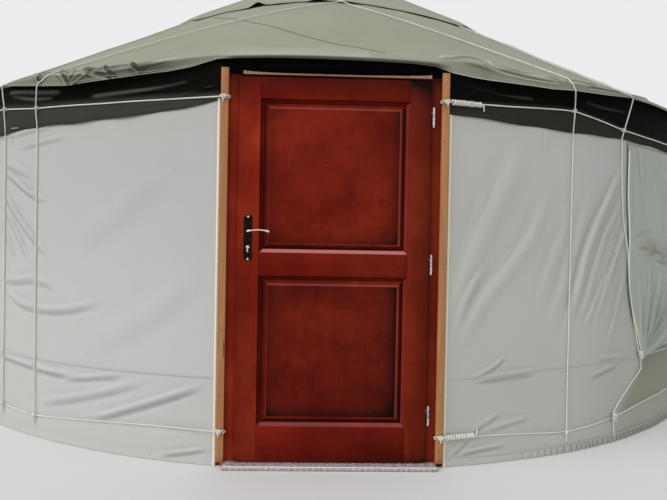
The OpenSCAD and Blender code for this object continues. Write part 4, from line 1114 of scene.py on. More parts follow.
def add_head_cloth():
    """The cloth between the roof's edge and the head of the door, near black as painted shadow."""
    half = JAMB_AZ + 0.4
    a, v = pairs(np.linspace(-half, half, int(120 / FINE)), np.linspace(0, 1, int(24 / FINE)))
    turn = np.sin(np.radians(a))
    foot_y, foot_z, top_z = FACE_Y - 0.0025, LINTEL_Z + 0.003, 1.868
    out = foot_y + (polar(2.999, a, 0)[..., 1] - foot_y) * smooth(v / 0.4)
    height = foot_z + (top_z - foot_z) * v
    points = np.stack([turn * 2.99, out - 0.001 * np.sin(math.pi * v) * np.sin(turn * 55), height], axis=-1)
    build = Build()
    build.grid(points, np.stack([np.radians(a) * 3, v * 0.1], axis=-1), 0.3)
    obj = build.object("canvas_head_painted_shadow", ["head_canvas_painted_shadow"])
    keep(obj, replaces=["head_flap"])


add_head_cloth()


# ropes
def curve_through(points, step):
    """Points every step along a smooth line through the given ones (Catmull-Rom)."""
    p = np.array([np.ravel(q) for q in points], float)
    p = np.concatenate([[2 * p[0] - p[1]], p, [2 * p[-1] - p[-2]]])
    out = []
    for k in range(1, len(p) - 2):
        a, b, c, d = p[k - 1:k + 3]
        count = max(1, int(math.ceil(np.linalg.norm(c - b) / step)))
        for t in np.arange(count) / count:
            out.append(0.5 * (2 * b + (c - a) * t + (2 * a - 5 * b + 4 * c - d) * t ** 2
                              + (3 * b - a - 3 * c + d) * t ** 3))
    out.append(p[-2])
    return np.array(out)


def tube(build, path, radius, sides=8, mat=0, shade=0.0):
    """A round tube with closed ends. Its UVs go once round it, and along it in metres."""
    path = np.asarray(path, float)
    tangent = np.gradient(path, axis=0)
    tangent /= np.linalg.norm(tangent, axis=1)[:, None]
    u = np.cross(tangent[0], (0.0, 0.0, 1.0) if abs(tangent[0][2]) < 0.9 else (1.0, 0.0, 0.0))
    lengths = np.append(0.0, np.cumsum(np.linalg.norm(np.diff(path, axis=0), axis=1)))
    angle = np.arange(sides + 1)[:, None] / sides * 2 * math.pi
    rings = []
    for place, way in zip(path, tangent):
        u = u - way * np.dot(u, way)
        u /= np.linalg.norm(u)
        rings.append(place + radius * (np.cos(angle) * u + np.sin(angle) * np.cross(way, u)))
    uv = np.stack(np.broadcast_arrays(np.arange(sides + 1)[None, :] / sides, lengths[:, None]), axis=-1)
    build.grid(np.array(rings), uv, shade, 0.0, mat)
    for ring, order in ((rings[0], range(sides - 1, -1, -1)), (rings[-1], range(sides))):
        build.add(ring[:-1], [list(order)], None, shade, 0.0, mat)


def rope(build, points, step=0.01, radius=ROPE_R, sides=6):
    """A cord along a smooth line through some points."""
    tube(build, curve_through(points, step), radius, sides)


def out_at(az):
    """The way straight out of the wall at an azimuth."""
    return np.array([math.sin(math.radians(az)), -math.cos(math.radians(az)), 0.0])


def knot(build, place, out, size, radius, turn=0.0):
    """A small trefoil of rope that lies on what is behind it."""
    out = np.asarray(out, float)
    side = np.cross((0, 0, 1), out)
    up = np.array([0, 0, 1.0]) * math.cos(turn) + side * math.sin(turn)
    side = np.cross(up, out)
    t = np.linspace(0, 2 * math.pi, 34)[:, None]
    x = (np.sin(t) + 2 * np.sin(2 * t)) / 3
    y = (np.cos(t) - 2 * np.cos(2 * t)) / 3
    tube(build, np.ravel(place) + size * (x * side + y * up - 0.45 * np.sin(3 * t) * out), radius, 6)


def leave_az(r):
    """Azimuth at which a girth rope leaves the round wall for the edge of the frame."""
    d = math.hypot(FRAME_X, TIE_Y)
    return math.degrees(math.acos(r / d) + math.asin(FRAME_X / d))


def girth(name, node, r, line):
    """From the tie left of the door round the back to the tie right of it."""
    leave = leave_az(r)
    az = np.arange(-leave, -360 + leave, -1.5)
    around = polar(r, az, line_at(line, az))
    straps = []
    for sign in (-1, 1):
        z = line_at(line, 10 * sign)
        straps.append([(sign * (BATTEN_X + 0.006), TIE_Y, z), (sign * (FRAME_X - 0.02), TIE_Y, z),
                       (sign * (FRAME_X + 0.0002), TIE_Y + 0.0006, z)])
    build = Build()
    tube(build, np.concatenate([straps[0], around, straps[1][::-1]]), 0.0032, 8)
    keep(build.object(name, ["rope"]), replaces=[node])


girth("rope_girth_upper", "girth_rope_upper", GIRTH_UP_R, ROPE_UP)
girth("rope_girth_lower", "girth_rope_lower", GIRTH_LOW_R, ROPE_LOW)


def hitch(build, az, line, r):
    """A turn of rope round the crossing of two ropes."""
    out = out_at(az)
    side = np.cross((0, 0, 1), out)
    up = np.array([0, 0, 1.0])
    t = np.linspace(0, 2 * math.pi * 1.6, 22)[:, None]
    middle = np.ravel(polar(r - ROPE_R - 0.0005, az, line_at(line, az)))
    across = 0.0085 * np.sin(t) * (up + side) / math.sqrt(2)
    climb = 0.008 * (t / t[-1] - 0.5) * (up - side) / math.sqrt(2)
    tube(build, middle + 0.010 * np.cos(t) * out + across + climb, ROPE_R * 0.9, 6)


# Cap and roof ropes: radius, how high their middle lies over the cloth, and half the length of a crossing
THIN_ROPE_R, ROPE_LIFT, CROSS_HALF = ROPE_R * 0.8, ROPE_R + 0.0006, 0.014
# How far the cloth under them stands out of the wall's cylinder, on the overlap and elsewhere
FLAP_OUT, WALL_OUT = 0.0135, 0.0055


def over_rope(z, az, line, r):
    """Radius of a rope that goes over a girth rope, and eases in to the wall above and below it."""
    return r - 0.12 * max(abs(z - line_at(line, plain(az))) - CROSS_HALF, 0)


def over_eave(az, hem_az, down):
    """A rope over the roof's edge and then down the wall, on a line of azimuths and heights."""
    path = [roof_points(az + (hem_az - az) * max(u, 0), u, ROPE_LIFT)
            for u in (-0.008, 0.0, 0.25, 0.6, 1.0)]
    for a, z in down:
        over_low = over_rope(z, a, ROPE_LOW, OVER_LOW_R)
        if z < 1.62:
            on_flap = 31.2 < plain(a) < FLAP_SEWN_AZ and z > 0.45
            r = max(over_low, WALL_R + (FLAP_OUT if on_flap else WALL_OUT) + ROPE_R + CLEAR)
        else:
            r = max(SKIRT_R + 0.003 + ROPE_R, over_rope(z, a, ROPE_UP, OVER_UP_R), over_low)
        path.append(polar(r, a, z))
    return path


def down_wall(az):
    """Straight down the wall, from just over the upper girth rope to the tail under the lower one."""
    high, low = line_at(ROPE_UP, az), line_at(ROPE_LOW, az)
    heights = [high + CROSS_HALF, high - CROSS_HALF, *np.linspace(1.60, 0.25, 34)]
    heights += [low + CROSS_HALF, low - CROSS_HALF, max(low - 0.045, 0.03)]
    return [(az, z) for z in heights]


# How high a roof rope's middle lies over the slope, plain and where it goes over the other one
ROPE_UP_BY, OVER_ROPE_BY = 0.0072, 0.0156


def roof_rope(side, az, hem_az, wall_az, span, way, cross):
    """A taut rope over the roof, on the shortest line on the cone between two places of its edge."""
    k = math.cos(PITCH)
    start = line_at(EAVE, az, 2) - 0.004
    least = (EAVE_R - 0.04) * math.cos(math.radians(span / 2) * k)
    steps = np.linspace(0, span, 49)
    if cross:
        hump = cross + np.array([-3, -1.2, 0, 1.2, 3])
        steps = np.sort(np.concatenate([steps[np.abs(steps - cross) > 3.2], hump]))
    top = []
    for f in steps:
        r = min(least / math.cos(math.radians(f - span / 2) * k), start)
        here = plain(az + way * f)
        lifted = line_at(EAVE, here, 1) * smooth((r - 2.70) / 0.25)
        least_rise = OVER_ROPE_BY if cross and abs(f - cross) < 1.5 else ROPE_UP_BY
        rise = max(least_rise, float(roof_relief(np.array(here), np.array(r))) + 0.0036) + 0.0025
        top.append(polar(r + rise * math.sin(PITCH), here, cone_z(r) + rise * k + lifted))
    end = plain(az + way * span)
    build = Build()
    first, last = over_eave(az, hem_az, down_wall(wall_az)), over_eave(end, end, down_wall(end))
    rope(build, first[::-1] + top[1:-1] + last, 0.03, THIN_ROPE_R, 8)
    for a in (wall_az, end):
        hitch(build, a, ROPE_UP, OVER_UP_R)
        hitch(build, a, ROPE_LOW, OVER_LOW_R)
    keep(build.object("rope_roof_" + side, ["rope"]), replaces=["roof_rope_" + side])


# Where each roof rope leaves the eave, in degrees, and the turn that it takes round the roof
LEFT_ROPE, RIGHT_ROPE = (-28, 155), (22, 168)


def crossing():
    """How far along the right roof rope, in degrees, the two roof ropes cross near the door."""
    k = math.cos(PITCH)
    (a0, span0), (a1, span1) = LEFT_ROPE, RIGHT_ROPE
    least0, least1 = (math.cos(math.radians(span / 2 * k)) for span in (span0, span1))
    middle0, middle1 = (a0 + span0 / 2) * k, (a1 - span1 / 2) * k
    top = least0 * math.cos(math.radians(middle1)) - least1 * math.cos(math.radians(middle0))
    low = least1 * math.sin(math.radians(middle0)) - least0 * math.sin(math.radians(middle1))
    return a1 - math.degrees(math.atan(top / low)) / k


roof_rope("left", LEFT_ROPE[0], -29.1, -30.4, LEFT_ROPE[1], 1, 0)
roof_rope("right", RIGHT_ROPE[0], 22.3, 23.25, RIGHT_ROPE[1], -1, crossing())

# The right cap rope goes down beside the overlap's edge to its toggle, and on to the lower girth rope
BESIDE_FLAP = [(30.8, 1.668), (30.6, 1.643), (30.55, 1.61), (30.55, 1.576), (30.6, 1.48), (30.7, 1.392),
               (30.9, 1.28), (31.2, 1.169), (31.8, 1.019), (32.1, 0.91), (32.4, 0.803), (32.9, 0.71),
               (33.4, 0.626), (34.0, 0.54), (34.6, 0.456), (35.2, 0.41), (35.4, 0.362), (34.6, 0.33),
               (33.5, 0.297), (32.0, 0.24), (30.6, 0.178), (30.1, 0.145), (30.2, 0.11), (30.3, 0.06),
               (30.6, 0.012)]
# Azimuth on the roof, azimuth at the hem, and the way down the wall
CAP_ROPES = [(-34, -35.9, down_wall(-36.1)), (30.2, 31.1, BESIDE_FLAP)]
CAP_ROPES += [(az, az, down_wall(az)) for az in (90, 150, -150, -90)]


def add_cap_ropes():
    """The ropes that hold the cap down, from its hem over the eave to the lower girth rope."""
    build = Build()
    for az, hem_az, down in CAP_ROPES:
        top = [on_roof(az, r, ROPE_LIFT) for r in (CAP_APOTHEM + 0.045, 1.9, 2.2, 2.5, 2.8, 2.95)]
        rope(build, top + over_eave(az, hem_az, down), 0.03, THIN_ROPE_R, 8)
        hitch(build, down[-1][0], ROPE_LOW, OVER_LOW_R)
        hitch(build, down[1][0], ROPE_UP, OVER_UP_R)
    keep(build.object("ropes_cap", ["rope"]), replaces=["cap_ropes"])


add_cap_ropes()


# The tie's knots beside the strip's edge: sideways, up, size
TIE_KNOTS = [(0.0160, 0.003, 0.0070), (0.0215, -0.004, 0.0080), (0.0275, 0.003, 0.0080)]
# Its loop through the eye and its short end: sideways, forward, up
TIE_LOOP = [(0.008, -0.001, 0.004), (0.000, 0.001, 0.006), (-0.006, 0.007, 0.003), (-0.007, 0.012, -0.001),
            (-0.004, 0.006, -0.005), (0.005, -0.0008, -0.005)]
TIE_END = [(0.020, -0.007, -0.004), (0.023, -0.008, -0.012), (0.022, -0.006, -0.022)]


def add_lashing(build, r, line, tail):
    """Turns of cord round a girth rope where it leaves the frame on the right, and the cord's loose end."""
    z = float(line_at(line, 10))
    edge = np.array([FRAME_X, TIE_Y, z])
    way = np.ravel(polar(r, leave_az(r), z)) - edge
    way /= np.linalg.norm(way)
    out = np.array([way[1], -way[0], 0])
    up = np.array([0, 0, 1.0])
    t = np.linspace(0, 1, 150)[:, None]
    turns = 2 * math.pi * 14 * t
    thick = 0.0078 + 0.0014 * np.sin(9 * t + 2 * np.sin(13 * t))
    along = 0.010 + 0.155 * (t + 0.010 * np.sin(19 * t))
    tube(build, edge + way * along + thick * np.cos(turns) * out + thick * np.sin(turns) * up, 0.0050, 6)
    end = edge + way * 0.165
    loose = ((0, 0.006, 0), (0.005, 0.009, 0.2), (0.008, 0.006, 0.6), (0.010, 0.003, 1))
    rope(build, [end + way * a + out * b + up * tail * c for a, b, c in loose], 0.004, 0.0034)


def add_tie(build, sign, z, rng):
    """Knots, a loop and a short end of cord on the strip beside the door."""
    for dx, dz, size in TIE_KNOTS:
        place = (sign * (BATTEN_X + dx), TIE_Y - 0.0020, z + dz)
        knot(build, place, (0, -1, 0), size, 0.0030, rng.uniform(-0.6, 0.6))
    for part, radius in ((TIE_LOOP, 0.0027), (TIE_END, 0.0025)):
        rope(build, [(sign * (BATTEN_X + dx), TIE_Y + dy, z + dz) for dx, dy, dz in part], 0.004, radius)


def add_eye(build, x, z):
    """A screw eye in the jamb, for a tie."""
    t = np.linspace(0, 2 * math.pi, 18)
    tube(build, xyz(x, FACE_Y - 0.011 + 0.006 * np.cos(t), z + 0.006 * np.sin(t)), 0.0014, 6)
    tube(build, [(x, FACE_Y + 0.004, z), (x, FACE_Y - 0.005, z)], 0.0015, 6)


def add_ties():
    """The lashings right of the door, the ties on both strips, and the eyes that they go through."""
    build, eyes = Build(), Build()
    rng = random.Random(9)
    for r, line, tail in ((GIRTH_UP_R, ROPE_UP, -0.030), (GIRTH_LOW_R, ROPE_LOW, 0.036)):
        add_lashing(build, r, line, tail)
        for sign in (-1, 1):
            z = float(line_at(line, 10 * sign))
            add_tie(build, sign, z, rng)
            add_eye(eyes, sign * (BATTEN_X - 0.007), z - 0.001)
    keep(build.object("rope_ties", ["rope"]), replaces=["rope_lashings"])
    keep(eyes.object("tie_eyes", ["nail_metal"]))


add_ties()


def add_small_cords():
    """The toggle at the overlap's corner, the knot on the lower rope, and loose ends of thread and ribbon."""
    build = Build()
    for a, z, r, size in ((34.7, 0.452, 3.026, 0.013), (35.0, 0.430, 3.022, 0.010)):
        knot(build, polar(r, a, z), out_at(a), size, 0.0045)
    for z in (0.128, 0.146):
        knot(build, polar(3.022, 30.1, z), out_at(30.1), 0.013, 0.0035)
    for path in ([(-34.8, 1.609), (-34.1, 1.608), (-33.5, 1.606)],
                 [(-34.8, 1.575), (-34.7, 1.556), (-34.9, 1.538)],
                 [(-37.3, 1.571), (-36.0, 1.571), (-34.6, 1.569)],
                 [(19.7, 1.594), (19.8, 1.561), (19.8, 1.498)]):
        rope(build, [polar(WALL_R + 0.0125, a, z) for a, z in path], 0.01, 0.0016, 5)
    keep(build.object("small_cords", ["rope"]))


add_small_cords()


# door frame, leaf and fittings
def board(build, low, high, radius, paint=None, segments=2, split=None, mat=0):
    """A board with rounded edges. paint gives shade and wear by place, and split cuts it up for that."""
    low, high = np.asarray(low, float), np.asarray(high, float)
    size = high - low
    bm = bmesh.new()
    bmesh.ops.create_cube(bm, size=1.0)
    for v in bm.verts:
        v.co = Vector([low[k] + (v.co[k] + 0.5) * size[k] for k in range(3)])
    bmesh.ops.bevel(bm, geom=bm.edges[:], offset=min(radius, size.min() / 2.01), segments=segments,
                    profile=0.5, affect="EDGES", clamp_overlap=True)
    for axis, places in (split or {}).items():
        for place in places:
            at, way = Vector(), Vector()
            at[axis], way[axis] = place, 1
            everything = bm.verts[:] + bm.edges[:] + bm.faces[:]
            bmesh.ops.bisect_plane(bm, geom=everything, plane_co=at, plane_no=way)
    bm.verts.index_update()
    points = np.array([v.co[:] for v in bm.verts])
    faces = [[v.index for v in f.verts] for f in bm.faces]
    bm.free()
    shade, dirt = paint(points) if paint else (0.0, 0.0)
    build.add(points, faces, points[:, [0, 2]], shade, dirt, mat)


def leaf_paint(p):
    """Painted shade: darker to the right, at the top under the roof's edge, and at the leaf's own edges; the
    joints a little darker.
    """
    x, z = p[:, 0], p[:, 2]
    side = 0.30 * smooth((x + 0.35) / 0.6) + 0.16 * smooth((z - 1.66) / 0.05)
    edge = 0.5 * near(np.abs(x), LEAF_X, 0.005) + 0.3 * near(z, LEAF_Z, 0.02) + 0.3 * near(z, LEAF_TOP, 0.015)
    joint = 0.10 * near(np.abs(x), OPEN_X, 0.003)
    return side + edge + joint, 0.0


def stile_paint(p):
    """Painted shade on the stiles: the left one darkens towards its foot, the right one is dark all the way,
    both darken at the top.
    """
    shade, dirt = leaf_paint(p)
    left = np.where(p[:, 0] < 0, 1.0, 0.0)
    top = 0.15 * smooth((p[:, 2] - 1.60) / 0.12)
    return shade + top + 0.16 * (1 - left) + 0.24 * left * smooth((1.15 - p[:, 2]) / 0.5), dirt


# How far the parts behind the lip reach into it, so that no gap shows
BITE = 0.001


def add_leaf_frame():
    """Stiles and rails, each with its front part and the part behind it that goes into the frame."""
    build = Build()
    lengths = {2: np.arange(LEAF_Z + 0.05, LEAF_TOP, 0.05)}
    lip_back = LEAF_FRONT + LIP_T
    for sign in (-1, 1):
        x0, x1 = sorted((sign * OPEN_X, sign * LEAF_X))
        board(build, (x0, LEAF_FRONT, LEAF_Z), (x1, lip_back, LEAF_TOP), 0.0028, stile_paint, 3, lengths)
        x0, x1 = sorted((sign * OPEN_X, sign * (LEAF_X - LIP_W)))
        board(build, (x0, lip_back - BITE, LEAF_Z), (x1, LEAF_BACK, LEAF_TOP - LIP_W), 0.002, stile_paint, 2,
              lengths)
    keep(build.object("leaf_stiles", ["stained_z"], 35), "door", ["door_stiles"])
    build = Build()
    lengths = {0: np.arange(-OPEN_X + 0.05, OPEN_X, 0.05)}
    x = OPEN_X - 0.0003
    for low, high, lip in ((LEAF_Z, LOW_OPEN[0], 0), (LOW_OPEN[1], UP_OPEN[0], 0),
                           (UP_OPEN[1], LEAF_TOP, LIP_W)):
        for front, back, top in ((LEAF_FRONT + 0.0001, lip_back, high),
                                 (lip_back - BITE, LEAF_BACK, high - lip)):
            board(build, (-x, front, low), (x, back, top), 0.0012, leaf_paint, 2, lengths)
    keep(build.object("leaf_rails", ["stained_x"], 35), "door", ["door_rails"])


def ring_strip(build, opening, profile, y0, face, shades, highlights=(0, 0, 0, 0)):
    """A moulding round an opening. Its profile: (inwards from the opening's edge, behind the front, shade).

    shades and the last argument are factors of the painted shade and painted highlight for the bottom, right,
    top and left sides."""
    z0, z1 = opening
    corners = [(-OPEN_X, z0, 1, 1), (OPEN_X, z0, -1, 1), (OPEN_X, z1, -1, -1), (-OPEN_X, z1, 1, -1)]
    rows = [np.array([(cx + sx * a, y0 + face * d, cz + sz * a) for a, d, _ in profile])
            for cx, cz, sx, sz in corners]
    dark = np.array([s for _, _, s in profile])
    for k in range(4):
        a, b = rows[k], rows[(k + 1) % 4]
        grid = a[None] + (b - a)[None] * np.linspace(0, 1, 14)[:, None, None]
        build.grid(grid, grid[..., [0, 2]], np.clip(dark * shades[k], 0, 1), highlights[k], flip=face > 0)


# Profiles of the panels: inwards from the opening's edge, behind the front, shade
OVOLO_R = 0.0145
OVOLO = [(-0.0005, 0.0, 0.3)] + [(OVOLO_R * (1 - math.cos(a)), OVOLO_R * math.sin(a), 0.5)
                                 for a in np.linspace(0.25, math.pi / 2, 7)]
OVOLO += [(0.0155, 0.0150, 0.9), (0.0160, 0.0168, 1.4)]
GROOVE = [(0.0105, 0.0170, 1.0), (0.0160, 0.0170, 1.0), (0.0168, 0.0164, 0.8)]
BEVEL = [(0.017 + 0.016 * t, 0.0164 - 0.0104 * t, 0.9 - 0.2 * t) for t in np.linspace(0, 1, 6)]
FIELD_IN, FIELD_BACK = 0.044, 0.0055
STEP = [(0.0336, 0.0066, 0.75), (0.0350, 0.0058, 0.45), (0.0400, 0.0056, 0.05), (0.0412, 0.0051, -0.1),
        (0.0424, FIELD_BACK, 0.05), (FIELD_IN, FIELD_BACK, 0.05)]


def field_shade(x, z, half, low, high, extra):
    """Painted shade along the sides of a panel's flat field, most at the right and bottom, growing to the
    right, with an extra even amount.
    """
    shade = 0.62 * np.exp(-(half - x) / 0.040) + 0.55 * np.exp(-(z - low) / 0.040)
    shade = shade + 0.30 * np.exp(-(half + x) / 0.035) + 0.10 * np.exp(-(high - z) / 0.03)
    return shade + 0.10 * smooth((x + 0.15) / 0.4) + extra


def add_panels():
    """Two raised panels with their mouldings front and back, with painted shade and painted highlights. The
    lower one is darker, its highlight fainter.
    """
    build, mould = Build(), Build()
    half = OPEN_X - FIELD_IN
    # for each opening: the painted highlight on its lower moulding, and extra painted shade on its field
    for opening, wear_and_highlight, extra in ((LOW_OPEN, 0.22, 0.28), (UP_OPEN, 0.90, 0.0)):
        low, high = opening[0] + FIELD_IN, opening[1] - FIELD_IN
        for y0, face in ((LEAF_FRONT, 1), (LEAF_BACK, -1)):
            ring_strip(mould, opening, OVOLO, y0, face, (0.0, 0.25, 1.15, 1.05), (wear_and_highlight, 0.06, 0, 0))
            ring_strip(build, opening, GROOVE, y0, face, (0.9, 0.9, 0.9, 0.9))
            ring_strip(build, opening, BEVEL, y0, face, (1.0, 0.95, 0.05, 0.60))
            ring_strip(build, opening, STEP, y0, face, (1.0, 0.9, 0.30, 0.6), (0, 0.10, 0.16, 0))
            x, z = pairs(np.linspace(-half, half, 30), np.linspace(low, high, 30))
            build.grid(xyz(x, y0 + face * FIELD_BACK, z), np.stack([x, z], axis=-1),
                       field_shade(x, z, half, low, high, extra), flip=face > 0)
    keep(build.object("leaf_panels", ["stained_panel"], 40), "door", ["door_panels"])
    keep(mould.object("leaf_mouldings", ["stained_x"], 50), "door")


add_leaf_frame()
add_panels()


def nail_head(build, place, radius):
    """A nail's head, a low dome towards -Y."""
    x, y, z = place
    t = np.linspace(0, 2 * math.pi, 11)
    rings = [xyz(x + q * radius * np.cos(t), y - d, z + q * radius * np.sin(t))
             for q, d in ((1.0, -0.0004), (0.95, 0.0004), (0.6, 0.0009), (0.05, 0.0011))]
    build.grid(np.array(rings))


def jamb_paint(p):
    """Painted shade beside the leaf, at the foot, under the roof's edge and all over the right jamb."""
    x, z = p[:, 0], p[:, 2]
    shade = 0.25 * near(np.abs(x), JAMB_X, 0.012) + 0.3 * near(z, 0.0, 0.05)
    return shade + 0.34 * (x > 0) + 0.6 * smooth((z - 1.70) / 0.07), 0.0


def edge_paint(place, reach, dark):
    """Shade near one height."""
    return lambda p: (dark * near(p[:, 2], place, reach), 0.0)


def add_frame():
    """Jambs, strips and lath of the frame with their nails, a dark mark on the left strip and its foot."""
    build = Build()
    lengths = {2: np.arange(0.05, LINTEL_Z, 0.06)}
    for sign in (-1, 1):
        x0, x1 = sorted((sign * JAMB_X, sign * FRAME_X))
        board(build, (x0, FACE_Y, 0.0), (x1, FACE_Y + 0.09, LINTEL_Z), 0.0025, jamb_paint, 2, lengths)
    keep(build.object("frame_jambs", ["stained_z"], 35), "root", ["jambs"])
    build, nails = Build(), Build()
    foot = STRIP_LOW[2]
    for sign in (-1, 1):
        x0, x1 = sorted((sign * BATTEN_X, sign * STRIP_HIGH[0]))
        board(build, (x0, STRIP_FRONT, foot), (x1, FACE_Y, STRIP_HIGH[2]), 0.0022,
              edge_paint(foot, 0.04, 0.25), 2, lengths)
        for k, z in enumerate((0.08, 0.33, 0.62, 0.94, 1.22, 1.50, 1.63, 1.76)):
            x = BATTEN_X + 0.016 + 0.006 * math.sin(k * 2.3)
            nail_head(nails, (sign * x, STRIP_FRONT, z), 0.0024)
    x = -BATTEN_X - 0.004
    board(nails, (x - 0.002, STRIP_FRONT - 0.0006, 0.50), (x + 0.002, STRIP_FRONT, 0.575), 0.0004)
    board(build, (-0.499, STRIP_FRONT + 0.003, 0.0), (-0.489, FACE_Y, foot + 0.001), 0.002)
    keep(build.object("frame_strips", ["pine"], 35), "root", ["jamb_strips"])
    build = Build()
    low, high = (corner + (0.009, 0, 0) for corner in ends("head_lath"))
    board(build, low, high, 0.0015, edge_paint(high[2], 0.006, 0.3), 2, {0: np.arange(-0.4, 0.43, 0.05)})
    for k, x in enumerate((-0.405, -0.30, -0.17, -0.05, 0.09, 0.21, 0.33, 0.415)):
        z = (low[2] + high[2]) / 2 + 0.002 * math.sin(k * 1.7)
        nail_head(nails, (x, low[1], z), 0.0044 if k in (1, 6) else 0.0032)
    keep(build.object("frame_lath", ["lath"], 35), "root", ["head_lath"])
    keep(nails.object("frame_nails", ["nail_metal"], 40))


add_frame()


def lozenge(build, place, angle, out, length, width):
    """A raised lozenge of chequer plate, on a face that looks along out."""
    out, a = np.array(out, float), np.array([1.0, 0, 0])
    u = a * math.cos(angle) + np.cross(out, a) * math.sin(angle)
    v = np.cross(out, u)
    t = np.linspace(0, 2 * math.pi, 9)[:, None]
    rings = [np.asarray(place) + out * h + length / 2 * q * np.cos(t) * u + width / 2 * q * np.sin(t) * v
             for q, h in ((1.0, -0.0002), (0.75, 0.0009), (0.15, 0.0011))]
    build.grid(np.array(rings))


def add_threshold():
    """Chequer plate, bent over the sill, with raised lozenges that lie crosswise in turn."""
    build = Build()
    low, high = ends("threshold_plate")
    half, y0, y1, z = high[0], low[1], high[1], high[2]
    # depth, height, painted shade and painted highlight across its bent front
    profile = np.array([(y0, 0.001, 0.6, 0), (y0, z - 0.004, 0.5, 0.4), (y0 + 0.0012, z - 0.0012, 0, 1),
                        (y0 + 0.004, z, 0, 1), (y0 + 0.005, z, 0.15, 0), (FACE_Y, z, 0.15, 0)])
    x, y = pairs(np.linspace(-half, half, 30), profile[:, 0])
    build.grid(xyz(x, y, profile[:, 1]), np.stack(np.broadcast_arrays(x, profile[:, 1]), axis=-1),
               profile[:, 2], profile[:, 3], flip=True)
    inside = JAMB_X - CLEAR
    x, y = pairs(np.linspace(-inside, inside, 10), np.linspace(FACE_Y, y1, 4))
    build.grid(xyz(x, y, z), np.stack([x, y], axis=-1), flip=True)
    pitch = 0.0265
    rows = [((0, 0, 1), y, z, half if y < FACE_Y else inside, 0.0230)
            for y in np.arange(y0 + 0.016, y1 - 0.010, 0.0150)]
    rows += [((0, -1, 0), y0, 0.008, half, 0.0110)]
    for row, (out, y, height, reach, length) in enumerate(rows):
        for column in range(int(2 * reach / pitch)):
            x = -reach + 0.012 + (column + 0.5 * (row % 2)) * pitch
            turn = math.radians(38 if (row + column) % 2 else -38)
            if x < reach - 0.01:
                lozenge(build, (x, y, height), turn, out, length, 0.0060)
    keep(build.object("threshold_chequer", ["threshold_metal"], 40), "root",
         ["threshold_plate"])


add_threshold()


def add_hinges():
    """Lift-off hinges: two knuckles with a ball at each end, worn bright through the paint, with painted
    shade on their left sides.
    """
    axis_x, axis_y = LEAF_X + 0.009, LEAF_FRONT + 0.005
    length, radius = 0.0475, 0.0080
    stations = [(0.0003, 0.0), (0.0003, 0.9 * radius), (0.0012, radius), (length - 0.009, radius),
                (length - 0.008, 0.88 * radius), (length - 0.007, 0.98 * radius),
                (length - 0.002, 0.78 * radius), (length, 0.0)]
    t = np.linspace(0, 2 * math.pi, 25)
    for body, name, node, way in (("root", "hinge_pins", "hinge_frame_halves", -1),
                                  ("door", "hinge_caps", "hinge_leaf_halves", 1)):
        build = Build()
        for z in HINGE_Z:
            rings = [xyz(axis_x + q * np.cos(t), axis_y + q * np.sin(t), z + way * s) for s, q in stations]
            # painted shade on the left side of each knuckle
            build.grid(np.array(rings), None, 0.95 * smooth((-0.05 - np.cos(t)) / 0.4), flip=way < 0)
            mid = z + way * length / 2
            if way < 0:
                tube(build, [(axis_x + 0.0045, axis_y, mid), (axis_x + 0.0045, FACE_Y, mid)], 0.0035, 12)
                tube(build, [(axis_x, axis_y, z - 0.02), (axis_x, axis_y, z + 0.036)], 0.0034, 14)
            else:
                tube(build, [(axis_x - 0.009, axis_y, mid), (axis_x - 0.002, axis_y, mid)], 0.0035, 12)
        keep(build.object(name, ["hinge_metal"], 35), body, [node])


add_hinges()


def turned(build, place, face, profile, mat=0, petals=0):
    """A turned or cast piece on the leaf, by (radius, height). petals makes its outline lobed."""
    x, y, z = place
    t = np.linspace(0, 2 * math.pi, 49)
    lobe = 1 - 0.30 * (0.5 - 0.5 * np.cos(petals * t)) if petals else 1.0 + 0 * t
    rings = [xyz(x + q * lobe * np.sin(t), y + face * h, z + q * lobe * np.cos(t)) for q, h in profile]
    build.grid(np.array(rings), None, 0.0, 0.0, mat, flip=face < 0)


def plate_rings(x, y, face, width, low, high, profile):
    """Rings of a long plate with round ends, by (share of its size, height)."""
    t = np.linspace(0, 2 * math.pi, 49)
    r = width / 2
    middle = np.where(np.sin(t) >= 0, high - r, low + r)
    return np.array([xyz(x + q * r * np.cos(t), y + face * d, middle + q * r * np.sin(t))
                     for q, d in profile])


# Turned fittings by radius and height, and plates by share of their size and height
ROSETTE = ((0.0060, 0.0040), (0.0054, 0.0052), (0.0038, 0.0048), (0.0026, 0.0058), (0.0001, 0.0060))
LEVER_ROSE = ((0.0125, 0.0038), (0.0125, 0.0070), (0.0105, 0.0086), (0.0001, 0.0086))
KEY_ROUND = ((0.0070, 0.0040), (0.0070, 0.0064), (0.0061, 0.0070), (0.0001, 0.0070))
LONG_PLATE = ((1.0, 0.0), (1.0, 0.0026), (0.95, 0.0036), (0.88, 0.0040))
KEY_BAR = ((1.0, 0.0040), (1.0, 0.0058), (0.8, 0.0064), (0.02, 0.0064))
# The lever's way: sideways from its spindle, out from the leaf, up
LEVER_WAY = [(0, 0.006, 0), (0, 0.030, 0), (0.003, 0.0385, 0.0005), (0.011, 0.0425, 0.0020),
             (0.035, 0.0430, 0.0055), (0.060, 0.0430, 0.0060), (0.082, 0.0425, 0.0035),
             (0.100, 0.0415, -0.0010)]


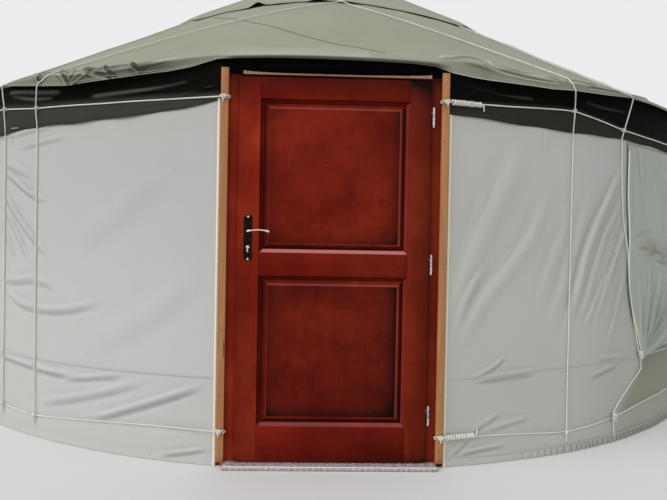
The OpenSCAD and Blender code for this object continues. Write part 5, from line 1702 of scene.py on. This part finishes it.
def add_lock():
    """Long lock plates with a rosette at each end, the key-hole piece, and the curved lever."""
    build, core, lever = Build(), Build(), Build()
    width = PLATE_HIGH[0] - PLATE_LOW[0]
    for y, face in ((LEAF_FRONT, -1), (LEAF_BACK, 1)):
        rings = plate_rings(LEVER_X, y, face, width, PLATE_LOW[2], PLATE_HIGH[2], LONG_PLATE)
        build.grid(rings, flip=face > 0)
        order = list(range(48))
        build.add(rings[-1][:-1], [order[::-1] if face > 0 else order])
        for z in (PLATE_HIGH[2] - 0.0101, PLATE_LOW[2] + 0.0078):
            turned(build, (LEVER_X, y, z), face, ROSETTE, 1, 3)
        turned(build, (LEVER_X, y, LEVER_Z), face, LEVER_ROSE, 0, 4)
        turned(core, (LEVER_X, y, LOCK_Z), face, KEY_ROUND)
        bar = plate_rings(LEVER_X, y, face, 0.0080, LOCK_Z - 0.022, LOCK_Z + 0.004, KEY_BAR)
        core.grid(bar, flip=face > 0)
        x, z = pairs((LEVER_X - 0.0009, LEVER_X + 0.0009), (LOCK_Z - 0.0045, LOCK_Z + 0.0045))
        core.grid(xyz(x, y + face * 0.0074, z), None, 0.0, 0.0, 1, flip=face > 0)
        way = [(LEVER_X + a, y + face * b, LEVER_Z + c) for a, b, c in LEVER_WAY]
        handle(lever, curve_through(way, 0.004))
    tube(core, [(LEVER_X, LEAF_FRONT - 0.003, LOCK_Z), (LEVER_X, LEAF_BACK + 0.003, LOCK_Z)], 0.0069, 20)
    keep(build.object("lock_cover", ["black_iron", "lever_metal"], 40), "door", ["lock_plates"])
    keep(core.object("lock_core", ["key_metal", "black_iron"], 40), "door", ["lock_cylinder"])
    keep(lever.object("lever_handle", ["lever_metal"], 50), "lever", ["door_lever"])


def handle(build, line):
    """The lever's bar: round at its neck, thin along the grip and flared to a flat end."""
    n = len(line)
    tangent = np.gradient(line, axis=0)
    tangent /= np.linalg.norm(tangent, axis=1)[:, None]
    t = np.linspace(0, 2 * math.pi, 17)[:, None]
    rings = []
    for i, (place, way) in enumerate(zip(line, tangent)):
        share = i / (n - 1)
        up = np.array([0, 0, 1.0])
        side = np.cross(way, up)
        side /= np.linalg.norm(side)
        grip = smooth((share - 0.30) / 0.15)
        tall = 0.0055 - 0.0020 * grip + 0.0022 * smooth((share - 0.80) / 0.17)
        thick = 0.0055 - 0.0020 * grip - 0.0008 * smooth((share - 0.85) / 0.15)
        close = 0.3 if i in (0, n - 1) else 1.0
        rings.append(place + close * (tall * np.cos(t) * up + thick * np.sin(t) * side))
    build.grid(np.array(rings))
    build.add(rings[-1][:-1], [list(range(15, -1, -1))])


add_lock()

# CAD nodes that keep their shape: how their names start, and their finish
KEPT = {"lintel": "stained_x", "sill": "stained_x", "crown_ring": "pole_wood", "crown_spokes": "pole_wood",
        "roof_poles": "pole_wood", "lattice": "lattice_wood"}
for node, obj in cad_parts.items():
    for start, finish in KEPT.items():
        if node.startswith(start):
            for place in obj.material_slots:
                place.material = MAT[finish]


def add_floor():
    """The floor that the yurt stands on in the picture."""
    build = Build()
    x, y = pairs(np.linspace(-45, 45, 4), np.linspace(-45, 45, 4))
    build.grid(xyz(x, y, -0.0005))
    build.object("floor", ["floor"])


add_floor()
